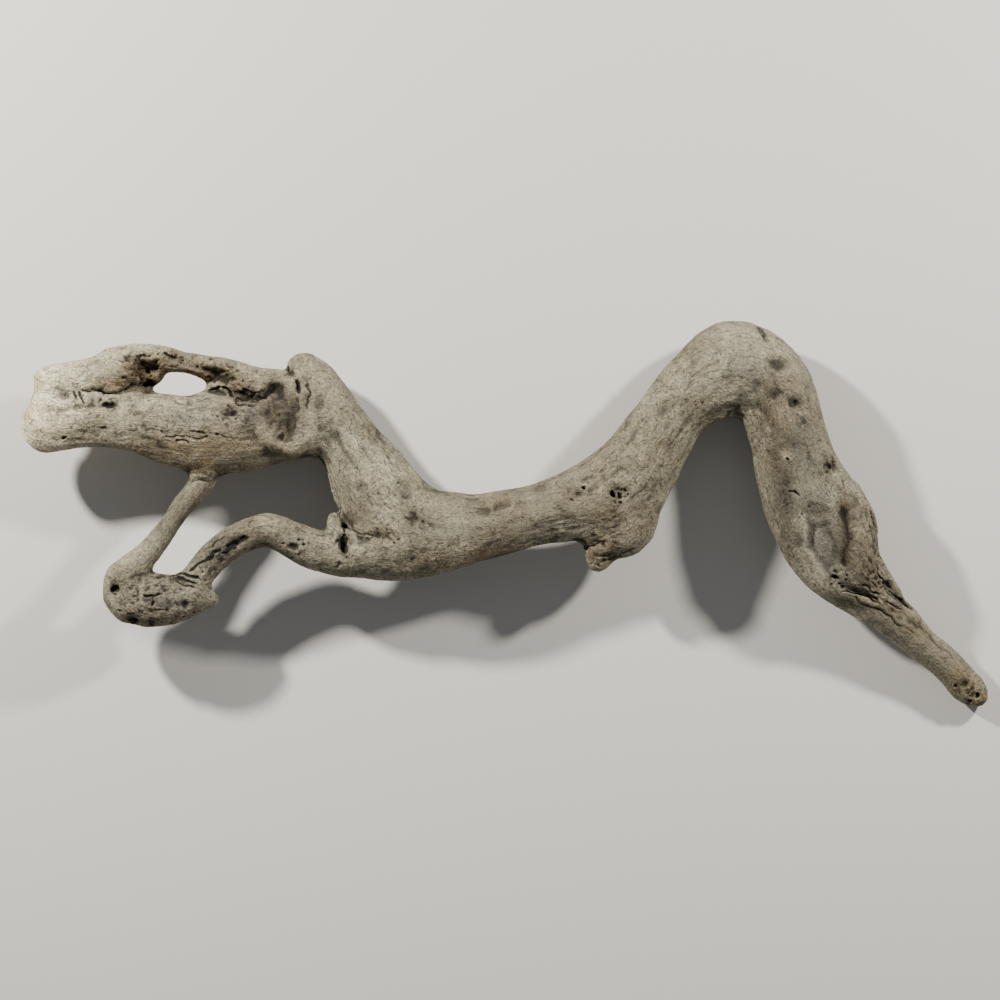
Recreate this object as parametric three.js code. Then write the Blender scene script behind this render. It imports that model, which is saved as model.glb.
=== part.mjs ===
// A piece of driftwood: one crooked, sea-worn piece of root wood with no bark, grown as one solid.
// A thick flat block with an eye hole ends at the left. A neck runs down from it to the stem, the stem
// climbs to a high bend, and the leg falls from there to the right and thins to a worn tip. A twig, a
// burl and a side branch close a loop under the block. A sharp ridge runs down the leg's outer side.
// Millimetres. +X runs along the piece from the block to the tip, +Y to the top of the bend, and +Z up
// from the surface that it lies on. The origin is on that surface, under the middle of the piece.

import * as THREE from 'three';
import { ImprovedNoise } from 'three/addons/math/ImprovedNoise.js';

// Driving dimensions
const CELL = 2.5;             // spacing of the grid that the wood's surface is found on
const BLOCK = 4;              // grid points in a row that are skipped together where no wood is near
const MARGIN = 8;             // room between the wood and the edge of that grid
const RELAX_ROUNDS = 2;       // times that the triangles of the grid are evened out
const TRIANGLES = 11400;      // faces of the finished solid
const LONGEST_EDGE = 15;      // longest side of a face
const SAMPLE = 5;             // spacing of the samples along a limb
const FLUTE = { along: 75, across: 17, height: 1.6 };   // long shallow ridges that follow the grain
const RIPPLE = { along: 30, across: 9, height: 0.5 };   // finer waves on them
const WARP = { span: 13, size: 3.4 };                   // how often the edges of hollows wander, and how far
const HOLLOW_FLOOR = 0.25;    // share of a hollow's size that is its floor; the rest slopes up to its edge
const RIM = { at: 1.12, width: 0.16 };                  // a hollow's raised rim, in shares of its size
const FACE_EDGE = 4;          // height over which relief fades where the top turns into the underside
const SEED_STEP = 37.3;       // sets each limb's grain apart from the others'
const WOOD_COLOUR = 0xb3a691; // bleached, warm grey

// What keeps the faces of the solid sound
const NEAREST = 0.02;         // least share of a grid edge between a point of the surface and a grid point
const FLATTEST = 1e-5;        // how flat the wood may be where a joined edge's best place is worked out
const LEAST_SHAPE = 0.05;     // least height of a face that an edge's joining leaves, over its longest side
const LEAST_TURN = 0.3;       // cosine of the most that such a face may turn
const EDGE_COST = 1e-4;       // makes the shorter of two equally flat edges go first

// Each limb is a row of stations: centre x, y, z, half width seen from above, half thickness.
// blend is the size of the fillet where the limb joins the others.
const LIMBS = {
  block: {
    blend: 9,
    stations: [
      [-289, 54, 44, 17, 14],
      [-261.5, 58.5, 43, 17.5, 16],
      [-230, 57, 41, 19.5, 19],
      [-198.5, 50.5, 38, 24.5, 23],
      [-170, 52, 34, 27, 25],
      [-142, 58.5, 29, 26.5, 26],
      [-120, 60, 25, 23, 26],
    ],
  },
  snout: {
    blend: 8,
    stations: [
      [-287, 72, 45, 9, 11],
      [-270, 73.5, 44, 9.5, 12],
      [-254, 73, 42, 9, 12],
      [-240, 71, 39, 8, 11],
    ],
  },
  brow: {
    blend: 8,
    stations: [
      [-288, 84, 47, 8, 8],
      [-271, 85, 46, 11, 12],
      [-252, 86, 45, 12.5, 14],
      [-239.5, 89, 44, 13, 14],
    ],
  },
  crest: {
    blend: 6,
    stations: [
      [-247.5, 95, 45, 8, 9],
      [-233, 99, 45, 7.5, 8],
      [-217, 97.5, 44, 7.3, 8],
      [-203, 94, 42, 7.2, 8],
      [-189, 91, 40, 8, 9],
      [-174.5, 87.5, 37, 9.5, 11],
      [-159.5, 82, 34, 10, 13],
      [-142, 76, 31, 11, 14],
    ],
  },
  socketFront: {
    blend: 6,
    stations: [
      [-241, 86, 38, 9, 9],
      [-223.5, 87, 37, 8.5, 9],
    ],
  },
  socketBack: {
    blend: 6,
    stations: [
      [-179, 80, 34, 9, 10],
      [-163, 77, 32, 11, 13],
    ],
  },
  neck: {
    blend: 7,
    stations: [
      [-127, 90, 29, 11, 12],
      [-120, 79, 28, 16.5, 17],
      [-111.5, 63, 27, 19.5, 21],
      [-96, 39, 31, 20.5, 20],
      [-79, 10.5, 37, 26.5, 24],
      [-66, -6, 41, 27.5, 25.5],
    ],
  },
  stem: {
    blend: 10,
    stations: [
      [-101, -26, 44, 13.5, 13.5],
      [-75.5, -21, 43, 22, 20.5],
      [-47, -13, 42, 26.5, 24],
      [-16, -9.5, 42, 21, 20],
      [18, -1.5, 42, 19, 18.5],
      [42, 4.5, 42, 22, 21],
      [63, 9.5, 41, 27, 24.5],
      [84.5, 30, 38, 25.5, 24],
      [94.5, 46, 36, 23, 22],
      [108, 65.5, 33, 21.5, 21],
      [124.5, 81, 30, 25, 24],
      [145, 91, 27, 30.5, 28],
      [167, 79, 28, 27, 26],
      [177.5, 51, 31, 24.5, 24.5],
      [184.5, 24.5, 33, 27, 24],
      [194, 3, 34, 30, 24],
      [203.5, -16.5, 33, 30, 22],
      [213, -33, 31, 25, 19],
      [228.5, -49.5, 27, 18, 15],
      [242.5, -63, 23.5, 13.8, 12.5],
      [261.5, -82, 18, 11, 10.5],
      [278.5, -96, 13.5, 10.5, 10.5],
      [293, -111, 9, 10.5, 10.5],
      [297.5, -115, 9, 8, 9],
    ],
  },
  elbow: {
    blend: 8,
    stations: [
      [59, -29.5, 43, 8.5, 8],
      [62.5, -20, 42, 12.5, 12.5],
      [75, -8, 41, 19, 18],
      [83, 10, 39, 16, 17],
    ],
  },
  branch: {
    blend: 6,
    stations: [
      [-201, -48.5, 44, 9.5, 10],
      [-186, -30, 45, 10, 10],
      [-167, -16, 47, 10, 10],
      [-149, -11.5, 48, 10.5, 10.5],
      [-131.5, -19, 47, 12, 12],
      [-119, -24, 46, 13, 13],
      [-101, -26, 44, 13.5, 13.5],
    ],
  },
  twig: {
    blend: 7,
    stations: [
      [-189, 32, 38, 9.5, 10],
      [-191.5, 19, 38, 8, 8.5],
      [-204, 3.5, 40, 6.9, 7.5],
      [-214, -11, 42, 6.8, 7.5],
      [-223, -23, 43, 7.7, 8.5],
      [-232, -31.5, 44, 9, 10],
      [-242, -40.5, 44, 10.5, 11.5],
    ],
  },
  burl: {
    blend: 6,
    stations: [
      [-242, -51, 43, 12.5, 12],
      [-233, -55, 43, 16.5, 15],
      [-217, -55, 43, 17, 16],
      [-201.5, -53.5, 43, 13, 13.5],
      [-187.5, -54.5, 43, 6.5, 7.5],
    ],
  },
  ridge: {
    blend: 4,
    stations: [
      [220.5, 15, 36, 3, 5],
      [227.5, -1, 38, 5, 8],
      [229.5, -14, 37, 6, 9],
      [231, -27, 35, 5.5, 8],
      [238, -41, 31, 4.5, 7],
      [247, -54, 27, 3.5, 5],
    ],
  },
  fin: {
    blend: 5,
    stations: [
      [-107.5, -6, 45, 4.5, 8],
      [-105.5, -16, 45, 5.5, 9],
      [-102, -25, 44, 7, 10],
    ],
  },
};

// The eye hole, an almond seen from above, goes right through the block.
const EYE = { x: -202.5, y: 81, halfLength: 15, halfHeight: 7, turn: -0.08, blend: 3 };

// Hollows are ellipses seen from above: centre, half length, half width, turn, depth, height of the rim.
const TOP = 1;
const UNDER = -1;
const HOLLOWS = [
  // Porous hollow in the brow
  { at: [-229, 91], size: [13, 9], turn: 0.3, depth: 6, rim: 0.4, side: TOP },
  // Under the crest
  { at: [-180, 85], size: [17, 7], turn: -0.3, depth: 4, rim: 0, side: TOP },
  // Big hollow at the neck
  { at: [-140.5, 62.5], size: [14.5, 23], turn: 0.18, depth: 9, rim: 1.5, side: TOP },
  { at: [-136, 90], size: [4, 5], turn: 0.5, depth: 4, rim: 0, side: TOP },
  { at: [-173, 62.5], size: [6.5, 5.5], turn: 0, depth: 3, rim: 0, side: TOP },
  { at: [-247, 67.5], size: [6, 4.5], turn: -0.3, depth: 3, rim: 0, side: TOP },
  // Knot hole by the branch
  { at: [-101.5, -21.5], size: [5, 9], turn: 0.2, depth: 5, rim: 0.4, side: TOP },
  // Worm hole on the stem
  { at: [69, 12], size: [6.5, 5], turn: 0.2, depth: 3, rim: 0, side: TOP },
  // Soft dents on the bend
  { at: [171.5, 93.5], size: [9, 8], turn: 0, depth: 1.5, rim: 0, side: TOP },
  { at: [182.5, 68.5], size: [6, 6], turn: 0, depth: 2, rim: 0, side: TOP },
  { at: [163, 111.5], size: [5, 7], turn: 0.4, depth: 2, rim: 0, side: TOP },
  { at: [204.5, 28.5], size: [6, 6.5], turn: 0.4, depth: 3, rim: 0, side: TOP },
  // Scoop in the leg
  { at: [199, -17], size: [19, 32], turn: 0.24, depth: 10, rim: 1.0, side: TOP },
  // Rotten end of the tip
  { at: [298, -116], size: [5, 5], turn: 0, depth: 3.5, rim: 0, side: TOP },
  // Holes in the burl
  { at: [-245, -48.5], size: [4.5, 5], turn: 0, depth: 4, rim: 0.3, side: TOP },
  { at: [-235, -69.5], size: [5.5, 6], turn: 0, depth: 7, rim: 0, side: TOP },
  // Long hollow under the block
  { at: [-205, 52], size: [26, 9], turn: -0.1, depth: 7, rim: 0.8, side: UNDER },
  { at: [-70, 5], size: [8, 14], turn: -0.4, depth: 4, rim: 0.5, side: UNDER },
  { at: [10, -3], size: [6, 5], turn: 0, depth: 4, rim: 0.3, side: UNDER },
  { at: [100, 50], size: [7, 12], turn: 0.5, depth: 3.5, rim: 0.5, side: UNDER },
  { at: [190, 10], size: [8, 24], turn: 0.2, depth: 4, rim: 0.6, side: UNDER },
  { at: [-218, -54], size: [8, 6], turn: 0.3, depth: 4, rim: 0.3, side: UNDER },
];

// Grooves are clefts, slits and splits that follow a line seen from above: half width and depth.
const GROOVES = [
  {
    line: [[-266, 75.5], [-250, 76], [-236, 79.5], [-223.5, 81], [-214, 81]],
    half: 4.2, depth: 7, side: TOP,
  },
  {
    line: [[-189, 77.5], [-174.5, 75], [-164, 71.5], [-153, 72.5], [-146, 77]],
    half: 4.5, depth: 5, side: TOP,
  },
  { line: [[-102.5, -8], [-93, -13], [-82, -15], [-72.5, -17]], half: 3.6, depth: 3, side: TOP },
  { line: [[41.5, -18.5], [52, -21.5], [64, -17.5]], half: 4, depth: 4.5, side: TOP },
  { line: [[209, 9], [215, -4.5], [216.5, -20], [213, -38]], half: 5, depth: 5, side: TOP },
  { line: [[224, 8], [230, -4.5], [233.5, -20], [236, -33]], half: 3.6, depth: 3, side: TOP },
  { line: [[234, -41], [244.5, -51], [257, -61]], half: 4, depth: 6.5, side: TOP },
  { line: [[208, -48], [217.5, -50.5], [227, -53], [240, -58]], half: 3.6, depth: 4, side: TOP },
  { line: [[240, -59], [252, -68.5], [268, -80], [281, -91]], half: 3.6, depth: 1.8, side: TOP },
  { line: [[-194, -35], [-183.5, -25], [-172, -19], [-161, -14.5]], half: 3.4, depth: 1.8, side: TOP },
  { line: [[-60, -18], [-25, -10], [10, 2], [35, 4]], half: 4.5, depth: 2.5, side: UNDER },
  { line: [[228, -52], [246, -66], [268, -86]], half: 4, depth: 2.5, side: UNDER },
  { line: [[-165, 60], [-150, 44], [-128, 38]], half: 4.5, depth: 4, side: UNDER },
];

const noise = new ImprovedNoise();

function mix(a, b, share) {
  return a + (b - a) * share;
}

function norm(x, y, z = 0) {
  return Math.sqrt(x * x + y * y + z * z);
}

function smoothstep(low, high, value) {
  return THREE.MathUtils.smoothstep(value, low, high);
}

// Samples a limb's smooth centreline, with its half sizes and the two directions across it.
function sampleLimb({ stations, blend }) {
  const centre = new THREE.CatmullRomCurve3(
    stations.map(([x, y, z]) => new THREE.Vector3(x, y, z)), false, 'centripetal');
  const half = new THREE.CatmullRomCurve3(
    stations.map(([, , , width, height]) => new THREE.Vector3(width, height, 0)), false, 'catmullrom', 0.5);
  const count = Math.ceil(centre.getLength() / SAMPLE);
  const up = new THREE.Vector3(0, 0, 1);
  const samples = [];
  let run = 0;
  for (let i = 0; i <= count; i++) {
    const at = centre.getPoint(i / count);
    const size = half.getPoint(i / count);
    const along = centre.getTangent(i / count);
    const side = new THREE.Vector3().crossVectors(up, along).normalize();
    const over = new THREE.Vector3().crossVectors(along, side);
    if (i) run += at.distanceTo(samples[i - 1].at);
    samples.push({ at, side, over, width: size.x, height: size.y, run });
  }
  const reach = Math.max(...stations.map(([, , , width, height]) => Math.max(width, height)));
  const box = new THREE.Box3().setFromPoints(samples.map((s) => s.at)).expandByScalar(reach);
  return { samples, blend, box, seed: SEED_STEP * stations.length + stations[0][0] };
}

// Distance from a point to an ellipsoid's surface, negative inside it: u, v, w over half sizes a, b, c.
function ellipsoidDistance(u, v, w, a, b, c) {
  const scaled = norm(u / a, v / b, w / c);
  if (scaled < 1e-6) return -Math.min(a, b);
  return scaled * (scaled - 1) / norm(u / (a * a), v / (b * b), w / (c * c));
}

// Distance from a point to a limb's surface, with its grain ridges, and the height of its middle there.
function limbDistance(limb, x, y, z) {
  const { samples } = limb;
  let best = Infinity;
  let index = 0;
  let share = 0;
  for (let i = 0; i < samples.length - 1; i++) {
    const a = samples[i].at;
    const b = samples[i + 1].at;
    const dx = b.x - a.x;
    const dy = b.y - a.y;
    const dz = b.z - a.z;
    const dot = (x - a.x) * dx + (y - a.y) * dy + (z - a.z) * dz;
    const t = Math.min(1, Math.max(0, dot / (dx * dx + dy * dy + dz * dz)));
    const gap = norm(x - a.x - dx * t, y - a.y - dy * t, z - a.z - dz * t)
      - mix(samples[i].width, samples[i + 1].width, t);
    if (gap < best) [best, index, share] = [gap, i, t];
  }
  const a = samples[index];
  const b = samples[index + 1];
  const from = [
    x - mix(a.at.x, b.at.x, share),
    y - mix(a.at.y, b.at.y, share),
    z - mix(a.at.z, b.at.z, share),
  ];
  const u = from[0] * mix(a.side.x, b.side.x, share) + from[1] * mix(a.side.y, b.side.y, share);
  const v = from[0] * mix(a.over.x, b.over.x, share) + from[1] * mix(a.over.y, b.over.y, share)
    + from[2] * mix(a.over.z, b.over.z, share);
  const w = Math.sqrt(Math.max(0, from[0] ** 2 + from[1] ** 2 + from[2] ** 2 - u * u - v * v));
  const width = mix(a.width, b.width, share);
  const height = mix(a.height, b.height, share);
  const run = mix(a.run, b.run, share) + limb.seed;
  let distance = ellipsoidDistance(u, v, w, width, height, (width + height) / 2);
  if (Math.abs(distance) < 3 * CELL) {
    for (const wave of [FLUTE, RIPPLE]) {
      const size = wave.height * Math.min(1, width / wave.across);
      distance -= size * noise.noise(run / wave.along, u / wave.across + limb.seed, v / wave.across);
    }
  }
  return { distance, middle: mix(a.at.z, b.at.z, share) };
}

// How far along a line of points, and how far from it, a point lies when seen from above.
function lineDistance(line, x, y) {
  let gap = Infinity;
  let place = 0;
  for (let i = 0; i < line.length - 1; i++) {
    const [ax, ay] = line[i];
    const dx = line[i + 1][0] - ax;
    const dy = line[i + 1][1] - ay;
    const t = Math.min(1, Math.max(0, ((x - ax) * dx + (y - ay) * dy) / (dx * dx + dy * dy)));
    const d = norm(x - ax - dx * t, y - ay - dy * t);
    if (d < gap) [gap, place] = [d, (i + t) / (line.length - 1)];
  }
  return { gap, place };
}

// How deep the hollows and grooves cut into the wood at a point. A negative depth is a raised rim.
// Their outlines are drawn smooth above, and wander here as worn wood does.
function reliefDepth(straightX, straightY, aboveMiddle) {
  const x = straightX + WARP.size * noise.noise(straightX / WARP.span, straightY / WARP.span, 5.5);
  const y = straightY + WARP.size * noise.noise(straightX / WARP.span, straightY / WARP.span, 25.5);
  let depth = 0;
  for (const { at, size, turn, depth: deepest, rim, side } of HOLLOWS) {
    const reach = Math.max(...size) * (RIM.at + 2 * RIM.width);
    if (Math.abs(x - at[0]) > reach || Math.abs(y - at[1]) > reach) continue;
    const along = (x - at[0]) * Math.cos(turn) + (y - at[1]) * Math.sin(turn);
    const across = (y - at[1]) * Math.cos(turn) - (x - at[0]) * Math.sin(turn);
    const out = norm(along / size[0], across / size[1]);
    const onSide = smoothstep(-FACE_EDGE, FACE_EDGE, aboveMiddle * side);
    depth += onSide * deepest * (1 - smoothstep(HOLLOW_FLOOR, 1, out));
    depth -= onSide * rim * Math.exp(-(((out - RIM.at) / RIM.width) ** 2));
  }
  for (const { line, half, depth: deepest, side } of GROOVES) {
    const { gap, place } = lineDistance(line, x, y);
    if (gap > half) continue;
    const onSide = smoothstep(-FACE_EDGE, FACE_EDGE, aboveMiddle * side);
    const taper = Math.min(1, 4 * place + 0.3, 4 * (1 - place) + 0.3);
    depth += onSide * deepest * taper * (1 - smoothstep(0.15, 1, gap / (half * taper)));
  }
  return depth;
}

// The wood as one field: negative inside it, positive outside.
function makeField(limbs) {
  const point = new THREE.Vector3();
  return (x, y, z) => {
    point.set(x, y, z);
    let distance = 3 * MARGIN;
    let middle = 0;
    for (const limb of limbs) {
      if (limb.box.distanceToPoint(point) > distance + limb.blend) continue;
      const found = limbDistance(limb, x, y, z);
      const overlap = Math.max(0, 1 - Math.abs(found.distance - distance) / limb.blend);
      const share = found.distance < distance ? 1 - overlap / 2 : overlap / 2;
      middle = mix(middle, found.middle, share);
      distance = Math.min(distance, found.distance) - overlap * overlap * limb.blend / 4;
    }
    if (distance > 2 * CELL) return distance;
    distance += reliefDepth(x, y, z - middle);
    const along = (x - EYE.x) * Math.cos(EYE.turn) + (y - EYE.y) * Math.sin(EYE.turn);
    const across = (y - EYE.y) * Math.cos(EYE.turn) - (x - EYE.x) * Math.sin(EYE.turn);
    const eye = EYE.halfHeight * (1 - (along / EYE.halfLength) ** 2) - Math.abs(across);
    const overlap = Math.max(0, 1 - Math.abs(eye - distance) / EYE.blend);
    return Math.max(distance, eye) + overlap * overlap * EYE.blend / 4;
  };
}

// Corners of a grid cube, and the six tetrahedra round its diagonal that it is cut into.
const CORNERS = [[0, 0, 0], [1, 0, 0], [1, 1, 0], [0, 1, 0], [0, 0, 1], [1, 0, 1], [1, 1, 1], [0, 1, 1]];
const TETRAHEDRA = [[0, 5, 1, 6], [0, 1, 2, 6], [0, 2, 3, 6], [0, 3, 7, 6], [0, 7, 4, 6], [0, 4, 5, 6]];
const EVEN_ORDERS = [
  [0, 1, 2, 3], [0, 2, 3, 1], [0, 3, 1, 2], [1, 0, 3, 2], [1, 2, 0, 3], [1, 3, 2, 0],
  [2, 0, 1, 3], [2, 1, 3, 0], [2, 3, 0, 1], [3, 0, 2, 1], [3, 1, 0, 2], [3, 2, 1, 0],
];

// The closed surface where a field is zero, as points and triangles that face out.
function surfaceOf(field, box) {
  const size = box.getSize(new THREE.Vector3()).divideScalar(CELL).ceil();
  const [nx, ny, nz] = [size.x + 1, size.y + 1, size.z + 1];
  const place = (i, j, k) => [box.min.x + i * CELL, box.min.y + j * CELL, box.min.z + k * CELL];
  const values = new Float64Array(nx * ny * nz).fill(Infinity);
  for (let k = 0; k < nz; k += BLOCK) {
    for (let j = 0; j < ny; j += BLOCK) {
      for (let i = 0; i < nx; i += BLOCK) {
        const half = (BLOCK - 1) / 2;
        if (field(...place(i + half, j + half, k + half)) > BLOCK * CELL + MARGIN / 4) continue;
        for (let c = k; c < Math.min(nz, k + BLOCK); c++) {
          for (let b = j; b < Math.min(ny, j + BLOCK); b++) {
            for (let a = i; a < Math.min(nx, i + BLOCK); a++) {
              values[(c * ny + b) * nx + a] = field(...place(a, b, c)) || 1e-6;
            }
          }
        }
      }
    }
  }
  const points = [];
  const triangles = [];
  const known = new Map();
  const cross = (a, b) => {
    const [low, high] = a.id < b.id ? [a, b] : [b, a];
    const key = low.id * 8 + (high.i - low.i) + 2 * (high.j - low.j) + 4 * (high.k - low.k);
    if (!known.has(key)) {
      const share = THREE.MathUtils.clamp(
        values[low.id] / (values[low.id] - values[high.id]), NEAREST, 1 - NEAREST);
      const from = place(low.i, low.j, low.k);
      const to = place(high.i, high.j, high.k);
      known.set(key, points.length);
      points.push(from.map((v, axis) => mix(v, to[axis], share)));
    }
    return known.get(key);
  };
  for (let k = 0; k < nz - 1; k++) {
    for (let j = 0; j < ny - 1; j++) {
      for (let i = 0; i < nx - 1; i++) {
        const cube = CORNERS.map(([di, dj, dk]) => {
          const id = ((k + dk) * ny + j + dj) * nx + i + di;
          return { i: i + di, j: j + dj, k: k + dk, id, inside: values[id] < 0 };
        });
        if (cube.every((c) => c.inside === cube[0].inside)) continue;
        for (const corners of TETRAHEDRA) {
          const tet = corners.map((c) => cube[c]);
          const count = tet.filter((c) => c.inside).length;
          if (count === 0 || count === 4) continue;
          const order = EVEN_ORDERS.find((o) => o.every((c, n) => tet[c].inside === n < count));
          const [a, b, c, d] = order.map((n) => tet[n]);
          if (count === 1) triangles.push([cross(a, b), cross(a, c), cross(a, d)]);
          if (count === 3) triangles.push([cross(a, d), cross(b, d), cross(c, d)]);
          if (count === 2) {
            const quad = [cross(a, c), cross(a, d), cross(b, d), cross(b, c)];
            triangles.push([quad[0], quad[1], quad[2]], [quad[0], quad[2], quad[3]]);
          }
        }
      }
    }
  }
  return { points, triangles };
}

// Evens out the triangles: each point goes to the middle of its neighbours, and then back onto the surface.
function relax({ points, triangles }, field) {
  const neighbours = points.map(() => new Set());
  for (const face of triangles) {
    face.forEach((v, i) => neighbours[v].add(face[(i + 1) % 3]).add(face[(i + 2) % 3]));
  }
  const step = CELL / 10;
  const middleOf = (near) => [0, 1, 2].map((axis) => {
    let sum = 0;
    for (const v of near) sum += points[v][axis];
    return sum / near.size;
  });
  for (let round = 0; round < RELAX_ROUNDS; round++) {
    points = neighbours.map(middleOf).map(([x, y, z]) => {
      const value = field(x, y, z);
      const slope = [
        (field(x + step, y, z) - value) / step,
        (field(x, y + step, z) - value) / step,
        (field(x, y, z + step) - value) / step,
      ];
      const back = THREE.MathUtils.clamp(value / Math.max(0.5, norm(...slope) ** 2), -CELL / 2, CELL / 2);
      return [x - back * slope[0], y - back * slope[1], z - back * slope[2]];
    });
  }
  return { points, triangles };
}

// Joins the two ends of one edge after another, the least noticed edge first, until few triangles are left.
// Each point carries the sum of the squared distances to the planes that met there, as a 4 x 4 quadric.
function simplify({ points, triangles }, goal) {
  const at = points.map((p) => p.slice());
  const quadrics = at.map(() => new Float64Array(10));
  const facesOf = at.map(() => new Set());
  const faces = triangles.map((face) => face.slice());
  const version = new Uint32Array(at.length);
  const normalOf = (a, b, c) => {
    const [ux, uy, uz] = [b[0] - a[0], b[1] - a[1], b[2] - a[2]];
    const [vx, vy, vz] = [c[0] - a[0], c[1] - a[1], c[2] - a[2]];
    return [uy * vz - uz * vy, uz * vx - ux * vz, ux * vy - uy * vx];
  };
  faces.forEach((face, id) => {
    const n = normalOf(...face.map((v) => at[v]));
    const area = norm(...n) || 1e-12;
    const [a, b, c] = n.map((v) => v / area);
    const [x, y, z] = at[face[0]];
    const d = -(a * x + b * y + c * z);
    const terms = [a * a, a * b, a * c, a * d, b * b, b * c, b * d, c * c, c * d, d * d];
    for (const v of face) {
      facesOf[v].add(id);
      terms.forEach((term, i) => { quadrics[v][i] += term * area; });
    }
  });
  const error = (q, x, y, z) => q[0] * x * x + q[4] * y * y + q[7] * z * z + q[9]
    + 2 * (q[1] * x * y + q[2] * x * z + q[3] * x + q[5] * y * z + q[6] * y + q[8] * z);
  // The place with the least error, where the quadric has one near the edge, and the better end otherwise.
  // Where the wood lies on the surface it stays there, so that its worn flats keep flat.
  const bestPlace = (q, a, b) => {
    const middle = a.map((v, i) => (v + b[i]) / 2);
    const det = q[0] * (q[4] * q[7] - q[5] * q[5]) - q[1] * (q[1] * q[7] - q[5] * q[2])
      + q[2] * (q[1] * q[5] - q[4] * q[2]);
    const choices = [a, b, middle].filter((p) => p[2] === 0 || (a[2] > 0 && b[2] > 0));
    if (a[2] > 0 && b[2] > 0 && Math.abs(det) > FLATTEST * (q[0] + q[4] + q[7]) ** 3) {
      const x = -(q[3] * (q[4] * q[7] - q[5] * q[5]) - q[1] * (q[6] * q[7] - q[5] * q[8])
        + q[2] * (q[6] * q[5] - q[4] * q[8])) / det;
      const y = -(q[0] * (q[6] * q[7] - q[8] * q[5]) - q[3] * (q[1] * q[7] - q[5] * q[2])
        + q[2] * (q[1] * q[8] - q[6] * q[2])) / det;
      const z = -(q[0] * (q[4] * q[8] - q[5] * q[6]) - q[1] * (q[1] * q[8] - q[6] * q[2])
        + q[3] * (q[1] * q[5] - q[4] * q[2])) / det;
      const edge = norm(a[0] - b[0], a[1] - b[1], a[2] - b[2]);
      if (norm(x - middle[0], y - middle[1], z - middle[2]) < edge) choices.push([x, y, z]);
    }
    return choices.reduce((best, p) => {
      const cost = error(q, ...p);
      return cost < best.cost ? { cost, p } : best;
    }, { cost: Infinity });
  };
  const heap = [];
  const swap = (i, j) => { [heap[i], heap[j]] = [heap[j], heap[i]]; };
  const push = (item) => {
    let i = heap.push(item) - 1;
    while (i && heap[(i - 1) >> 1].cost > heap[i].cost) {
      swap(i, (i - 1) >> 1);
      i = (i - 1) >> 1;
    }
  };
  const pop = () => {
    swap(0, heap.length - 1);
    const top = heap.pop();
    for (let i = 0, low = 1; low < heap.length; i = low, low = 2 * i + 1) {
      if (low + 1 < heap.length && heap[low + 1].cost < heap[low].cost) low += 1;
      if (heap[i].cost <= heap[low].cost) break;
      swap(i, low);
    }
    return top;
  };
  const offer = (a, b) => {
    const q = quadrics[a].map((v, i) => v + quadrics[b][i]);
    const { cost, p } = bestPlace(q, at[a], at[b]);
    const edge = norm(at[a][0] - at[b][0], at[a][1] - at[b][1], at[a][2] - at[b][2]);
    push({ cost: cost + EDGE_COST * edge, p, a, b, seen: [version[a], version[b]] });
  };
  const longestSide = (corners) => Math.max(...corners.map((p, i) => {
    const q = corners[(i + 1) % 3];
    return norm(p[0] - q[0], p[1] - q[1], p[2] - q[2]);
  }));
  const around = (v) => new Set([...facesOf[v]].flatMap((id) => faces[id]).filter((w) => w !== v));
  const stays = (v, other, p) => [...facesOf[v]].every((id) => {
    const face = faces[id];
    if (face.includes(other)) return true;
    const before = normalOf(...face.map((w) => at[w]));
    const moved = face.map((w) => (w === v ? p : at[w]));
    const after = normalOf(...moved);
    const longest = longestSide(moved);
    const turn = before[0] * after[0] + before[1] * after[1] + before[2] * after[2];
    return longest < LONGEST_EDGE && norm(...after) > LEAST_SHAPE * longest ** 2
      && turn > LEAST_TURN * norm(...before) * norm(...after);
  });
  let left = faces.length;
  const join = ({ p, a, b, seen }) => {
    if (seen[0] !== version[a] || seen[1] !== version[b] || !facesOf[a].size || !facesOf[b].size) return;
    const near = around(a);
    const shared = [...around(b)].filter((v) => near.has(v));
    if (shared.length !== 2 || !stays(a, b, p) || !stays(b, a, p)) return;
    at[a] = p;
    quadrics[b].forEach((v, i) => { quadrics[a][i] += v; });
    for (const id of facesOf[b]) {
      const face = faces[id];
      if (face.includes(a)) {
        face.forEach((v) => facesOf[v].delete(id));
        faces[id] = null;
        left -= 1;
      } else {
        face[face.indexOf(b)] = a;
        facesOf[a].add(id);
      }
    }
    facesOf[b].clear();
    version[a] += 1;
    version[b] += 1;
    for (const v of around(a)) offer(a, v);
  };
  // An edge that couldn't be joined may be free once its surroundings have changed: all are offered again.
  for (let before = Infinity; left > goal && left < before;) {
    before = left;
    for (const face of faces) {
      if (face) face.forEach((v, i) => { if (v < face[(i + 1) % 3]) offer(v, face[(i + 1) % 3]); });
    }
    while (left > goal && heap.length) join(pop());
  }
  const kept = faces.filter((face) => face);
  const used = [...new Set(kept.flat())];
  const renamed = new Map(used.map((v, i) => [v, i]));
  return { points: used.map((v) => at[v]), triangles: kept.map((face) => face.map((v) => renamed.get(v))) };
}

// The whole piece: found on the grid, laid flat where it touches the surface, and simplified.
function makeWood() {
  const limbs = Object.values(LIMBS).map(sampleLimb);
  const box = limbs.reduce((all, limb) => all.union(limb.box), new THREE.Box3()).expandByScalar(MARGIN);
  const field = makeField(limbs);
  const surface = relax(surfaceOf(field, box), field);
  for (const point of surface.points) point[2] = Math.max(0, point[2]);
  const wood = simplify(surface, TRIANGLES);
  const geometry = new THREE.BufferGeometry();
  geometry.setAttribute('position', new THREE.Float32BufferAttribute(wood.points.flat(), 3));
  geometry.setIndex(wood.triangles.flat());
  geometry.computeVertexNormals();
  geometry.computeBoundingBox();
  const middle = geometry.boundingBox.getCenter(new THREE.Vector3());
  return geometry.translate(-middle.x, -middle.y, 0);
}

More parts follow.
